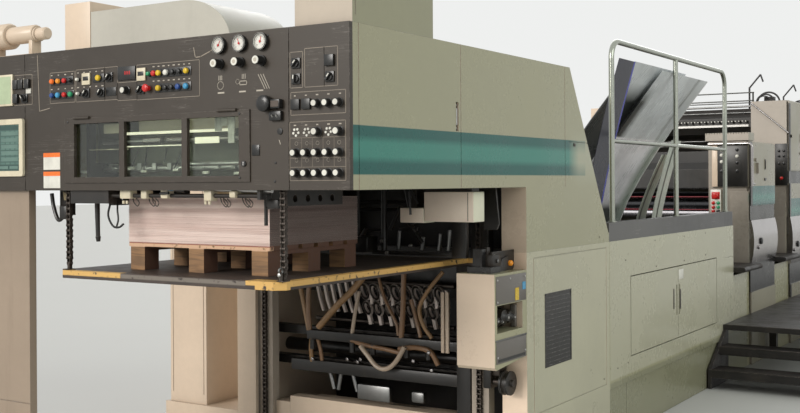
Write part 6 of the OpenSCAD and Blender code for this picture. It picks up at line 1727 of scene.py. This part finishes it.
@dataclass(frozen=True)
class LowSection:
    """Screws on the covers of the low section, and the catch plates and the blank plate on its doors."""

    side: float = HALF_WIDTH

    def build(self) -> None:
        """Makes the screws, and the plates that swing with the doors."""
        x = self.side
        shape = Shape("low_section_screws", Finish.STEEL_DARK)
        for y, z in ((3.45, 1.155), (4.05, 1.155), (4.55, 1.155), (2.92, 1.06), (3.47, 0.985), (4.05, 0.985),
                     (4.55, 0.995), (2.78, 0.42), (2.95, 0.43)):
            screw_head(shape, (x, y, z), SIDE, 0.0048)
        shape.done()
        for body, low, z in (("left_door", 3.812, 0.669), ("right_door", 3.952, 0.656)):
            plate = Shape(f"{body}_plate", Finish.STEEL_DARK, body)
            plate.block((x - 0.002, low, z), (x + 0.0012, low + 0.020, z + 0.138), 0.001)
            plate.block((x + 0.0008, low + 0.014, z + 0.004), (x + 0.0024, low + 0.018, z + 0.134), 0.0,
                        Finish.TRIM_STEEL)
            if body == "right_door":
                plate.block((x - 0.001, 3.928, 0.862), (x + 0.0012, 4.030, 0.930), 0.0005, Finish.CAP_WHITE)
            plate.done()


@dataclass(frozen=True)
class UnitControls:
    """The small control panels, latches and plates on the operator side housings."""

    side: float = HALF_WIDTH
    low_face: float = 5.802
    first_unit: float = 7.230
    cover: float = 0.014
    pitch: float = UNIT_PITCH
    units: int = UNIT_COUNT
    keys: int = 39
    key_pitch: float = 0.0333

    def build(self) -> None:
        """Makes the fittings of the low unit and of each printing unit."""
        self.build_low_unit()
        for i in range(self.units):
            self.build_unit(i, self.first_unit + i * self.pitch)

    def button(self, shape: Shape, x: float, y: float, z: float, finish: Finish, radius: float = 0.013) -> None:
        """A round button on a face that looks to the front."""
        shape.lathe((x, y, z), FRONT, ((0.0, radius * 1.4), (0.005, radius * 1.35), (0.006, radius),
                                            (0.016, radius * 0.95), (0.018, radius * 0.6)), 18, finish)

    def build_low_unit(self) -> None:
        """The panel, button plate, guard knob and latches of the low unit."""
        y = self.low_face
        shape = Shape("low_unit_fittings", Finish.PANEL)
        shape.block((0.730, y - 0.003, 1.490), (0.982, y + 0.004, 1.858), 0.001, Finish.BLACK_PAINT)
        shape.block((0.669, y - 0.003, 1.265), (0.757, y + 0.004, 1.465), 0.001, Finish.CAP_WHITE)
        shape.block((0.682, y - 0.002, 1.490), (0.730, y + 0.004, 1.858), 0.001, Finish.CREAM)
        panel = y - 0.003
        for x, z, finish in ((0.765, 1.800, Finish.CAP_WHITE), (0.765, 1.755, Finish.CAP_WHITE),
                             (0.765, 1.700, Finish.CAP_WHITE), (0.895, 1.800, Finish.BLACK_PLASTIC),
                             (0.895, 1.745, Finish.CAP_WHITE), (0.895, 1.690, Finish.BLACK_PLASTIC),
                             (0.765, 1.620, Finish.BLACK_PLASTIC), (0.895, 1.620, Finish.BLACK_PLASTIC)):
            self.button(shape, x, panel, z, finish, 0.010)
        shape.block((0.680, y - 0.008, 1.385), (0.748, y - 0.002, 1.445), 0.003, Finish.LAMP_RED)
        shape.lathe((0.713, y - 0.006, 1.415), FRONT, ((0.0, 0.014), (0.014, 0.014), (0.016, 0.027),
                    (0.024, 0.028), (0.030, 0.022), (0.032, 0.008)), 28, Finish.LAMP_RED)
        for z, finish in ((1.352, Finish.LAMP_GREEN), (1.316, Finish.LAMP_GREEN), (1.282, Finish.BLACK_PLASTIC)):
            self.button(shape, 0.735, panel, z, finish, 0.011)
            self.button(shape, 0.693, panel, z, Finish.LAMP_RED, 0.011)
        self.add_side_fittings(shape, y + 0.50, 1.68, 1.025, 1.55)
        shape.done()

    def build_unit(self, number: int, y: float) -> None:
        """The panel in the recess, the latches and the top fittings of one printing unit."""
        shape = Shape(f"unit_{number + 1}_fittings", Finish.PANEL)
        panel = y - self.cover - 0.002
        shape.block((0.868, panel, 1.492), (0.985, y + 0.004, 1.888), 0.001, Finish.BLACK_PAINT)
        for z in (1.82, 1.77, 1.70):
            self.button(shape, 0.905, panel, z, Finish.BLACK_PLASTIC, 0.009)
            self.button(shape, 0.950, panel, z, Finish.BLACK_PLASTIC, 0.009)
        self.button(shape, 0.927, panel, 1.56, Finish.LAMP_RED, 0.011)
        self.add_side_fittings(shape, y + 0.45, 1.95, 0.93, 1.80)
        shape.done()
        lines = Shape(f"unit_{number + 1}_ink_trim", Finish.TRIM_STEEL)
        for z, radius, back in ((2.262, 0.010, 0.03), (2.200, 0.006, 0.0)):
            lines.rod((-0.70, y + 0.064 + back, z), (0.64, y + 0.064 + back, z), radius, 12)
        for z in (1.93, 1.885, 1.64):
            lines.rod((-0.70, y + 0.10, z), (0.64, y + 0.10, z), 0.006, 10)
        for i in range(self.keys):
            x = -0.68 + i * self.key_pitch
            lines.lathe((x, y + 0.0238, 2.117), FRONT, ((0.0, 0.006), (0.002, 0.0055)), 8, Finish.CAP_WHITE)
        lines.done()

    def add_side_fittings(self, shape: Shape, y: float, z: float, knob_z: float, latch_z: float) -> None:
        """A latch, a sunk handle and a guard knob on the operator side."""
        x = self.side
        shape.block((x - 0.001, y - 0.030, latch_z - 0.012), (x + 0.006, y + 0.030, latch_z + 0.012), 0.003,
                    Finish.BLACK_PLASTIC)
        shape.block((x - 0.001, y - 0.012, z - 0.045), (x + 0.005, y + 0.012, z + 0.045), 0.002,
                    Finish.BLACK_PLASTIC)
        shape.block((x + 0.003, y - 0.005, z - 0.036), (x + 0.008, y + 0.005, z + 0.036), 0.002,
                    Finish.STEEL_DARK)
        shape.lathe((x + 0.006, y - 0.25, knob_z), SIDE, ((0.0, 0.014), (0.014, 0.013), (0.016, 0.028),
                    (0.028, 0.029), (0.034, 0.018)), 20, Finish.BLACK_PLASTIC)


@dataclass(frozen=True)
class Steps:
    """Edge strips on the treads and on the walkway."""

    inner: float = HALF_WIDTH
    outer: float = 1.75

    def build(self) -> None:
        """Makes the worn metal nosing of each tread."""
        shape = Shape("step_nosings", Finish.STEEL_DARK)
        for y, z in ((4.590, 0.143), (4.790, 0.287), (4.990, 0.430)):
            shape.block((self.inner + 0.02, y + 0.002, z - 0.0005), (self.outer - 0.02, y + 0.030, z + 0.0015), 0.0005)
        shape.done()


# Stage


@dataclass(frozen=True)
class PhotoCamera:
    """The camera, placed and turned as the photograph's."""

    place: Point = (3.394, -3.407, 1.545)
    ahead: tuple[float, float] = (-0.5367, 0.8438)
    lens: float = 48.8
    sensor: float = 36.0
    rise: float = -0.0306
    roll_degrees: float = -0.34

    def build(self) -> None:
        """Adds the camera and makes it the scene's."""
        data = bpy.data.cameras.new("photo_camera")
        data.lens = self.lens
        data.sensor_width = self.sensor
        data.sensor_fit = "HORIZONTAL"
        data.shift_y = self.rise
        data.clip_end = 200.0
        camera = bpy.data.objects.new("photo_camera", data)
        camera.location = DATUM.at(self.place)
        look = Vector((*self.ahead, 0.0)).to_track_quat("-Z", "Y").to_matrix().to_4x4()
        roll = Matrix.Rotation(math.radians(self.roll_degrees), 4, "Z")
        camera.matrix_world = Matrix.Translation(DATUM.at(self.place)) @ look @ roll
        bpy.context.scene.collection.objects.link(camera)
        bpy.context.scene.camera = camera


@dataclass(frozen=True)
class Studio:
    """A pale floor, a pale sky and soft even light."""

    floor_half: float = 60.0
    floor_colour: Colour = (0.62, 0.62, 0.60)
    sky_colour: Colour = (0.86, 0.87, 0.86)
    sky_light: float = 0.55
    suns: tuple[tuple[Point, float, float, Colour], ...] = (
        ((0.30, 0.86, -0.35), 2.15, 25.0, (1.0, 0.965, 0.92)),
        ((-0.85, 0.25, -0.42), 0.75, 35.0, (0.95, 1.0, 0.94)),
        ((0.30, -0.85, -0.50), 0.7, 40.0, (1.0, 1.0, 1.0)),
    )

    def build(self) -> None:
        """Adds the floor, the world and the lamps."""
        self.make_floor()
        self.make_world()
        for i, (way, strength, angle, colour) in enumerate(self.suns):
            data = bpy.data.lights.new(f"sun_{i}", "SUN")
            data.energy = strength
            data.angle = math.radians(angle)
            data.color = colour
            lamp = bpy.data.objects.new(f"sun_{i}", data)
            lamp.rotation_euler = Vector(way).to_track_quat("-Z", "Y").to_euler()
            bpy.context.scene.collection.objects.link(lamp)

    def make_floor(self) -> None:
        """Adds a large plain floor just under the machine."""
        half = self.floor_half
        data = bpy.data.meshes.new("floor")
        data.from_pydata([(-half, -half, 0.0), (half, -half, 0.0), (half, half, 0.0), (-half, half, 0.0)], [],
                         [(0, 1, 2, 3)])
        material, tree, node = shader("studio_floor", Roughness=0.6)
        cloud = tree.noise(object_position(tree), 0.6, 5.0)
        tree.link(tree.mix(cloud, darker(self.floor_colour, 0.96),
                                     self.floor_colour), node.inputs["Base Color"])
        data.materials.append(material)
        floor = bpy.data.objects.new("floor", data)
        floor.location.z = -0.002
        bpy.context.scene.collection.objects.link(floor)

    def make_world(self) -> None:
        """Adds a plain sky that is pale to the camera and in reflections, and dimmer as a light."""
        world = bpy.data.worlds.new("studio")
        bpy.context.scene.world = world
        world.use_nodes = True
        tree = Tree(world.node_tree)
        path = tree.add("LightPath").outputs
        seen = tree.math("MAXIMUM", path["Is Camera Ray"], tree.math("MAXIMUM", path["Is Glossy Ray"],
                                                                    path["Is Transmission Ray"]))
        strength = tree.math("ADD", tree.math("MULTIPLY", seen, 1.0 - self.sky_light), self.sky_light)
        background = world.node_tree.nodes["Background"]
        background.inputs["Color"].default_value = (*self.sky_colour, 1.0)
        tree.link(strength, background.inputs["Strength"])


def main() -> None:
    """Builds the press's looks in order and reports each piece."""
    logging.basicConfig(level=logging.INFO, format="%(message)s")
    bpy.context.scene.view_settings.view_transform = "Standard"
    make_node_groups()
    dress_nodes()
    for assembly in (ControlPanel(), WindowInterior(), FrontFittings(), RoofFittings(), SideCovers(), PileFittings(),
                     BayMechanism(), DeliveryUnderside(), SideBox(), LowSection(), UnitControls(), Steps()):
        log.info("building %s", type(assembly).__name__)
        assembly.build()
    PhotoCamera().build()
    Studio().build()


if __name__ == "__main__":
    main()
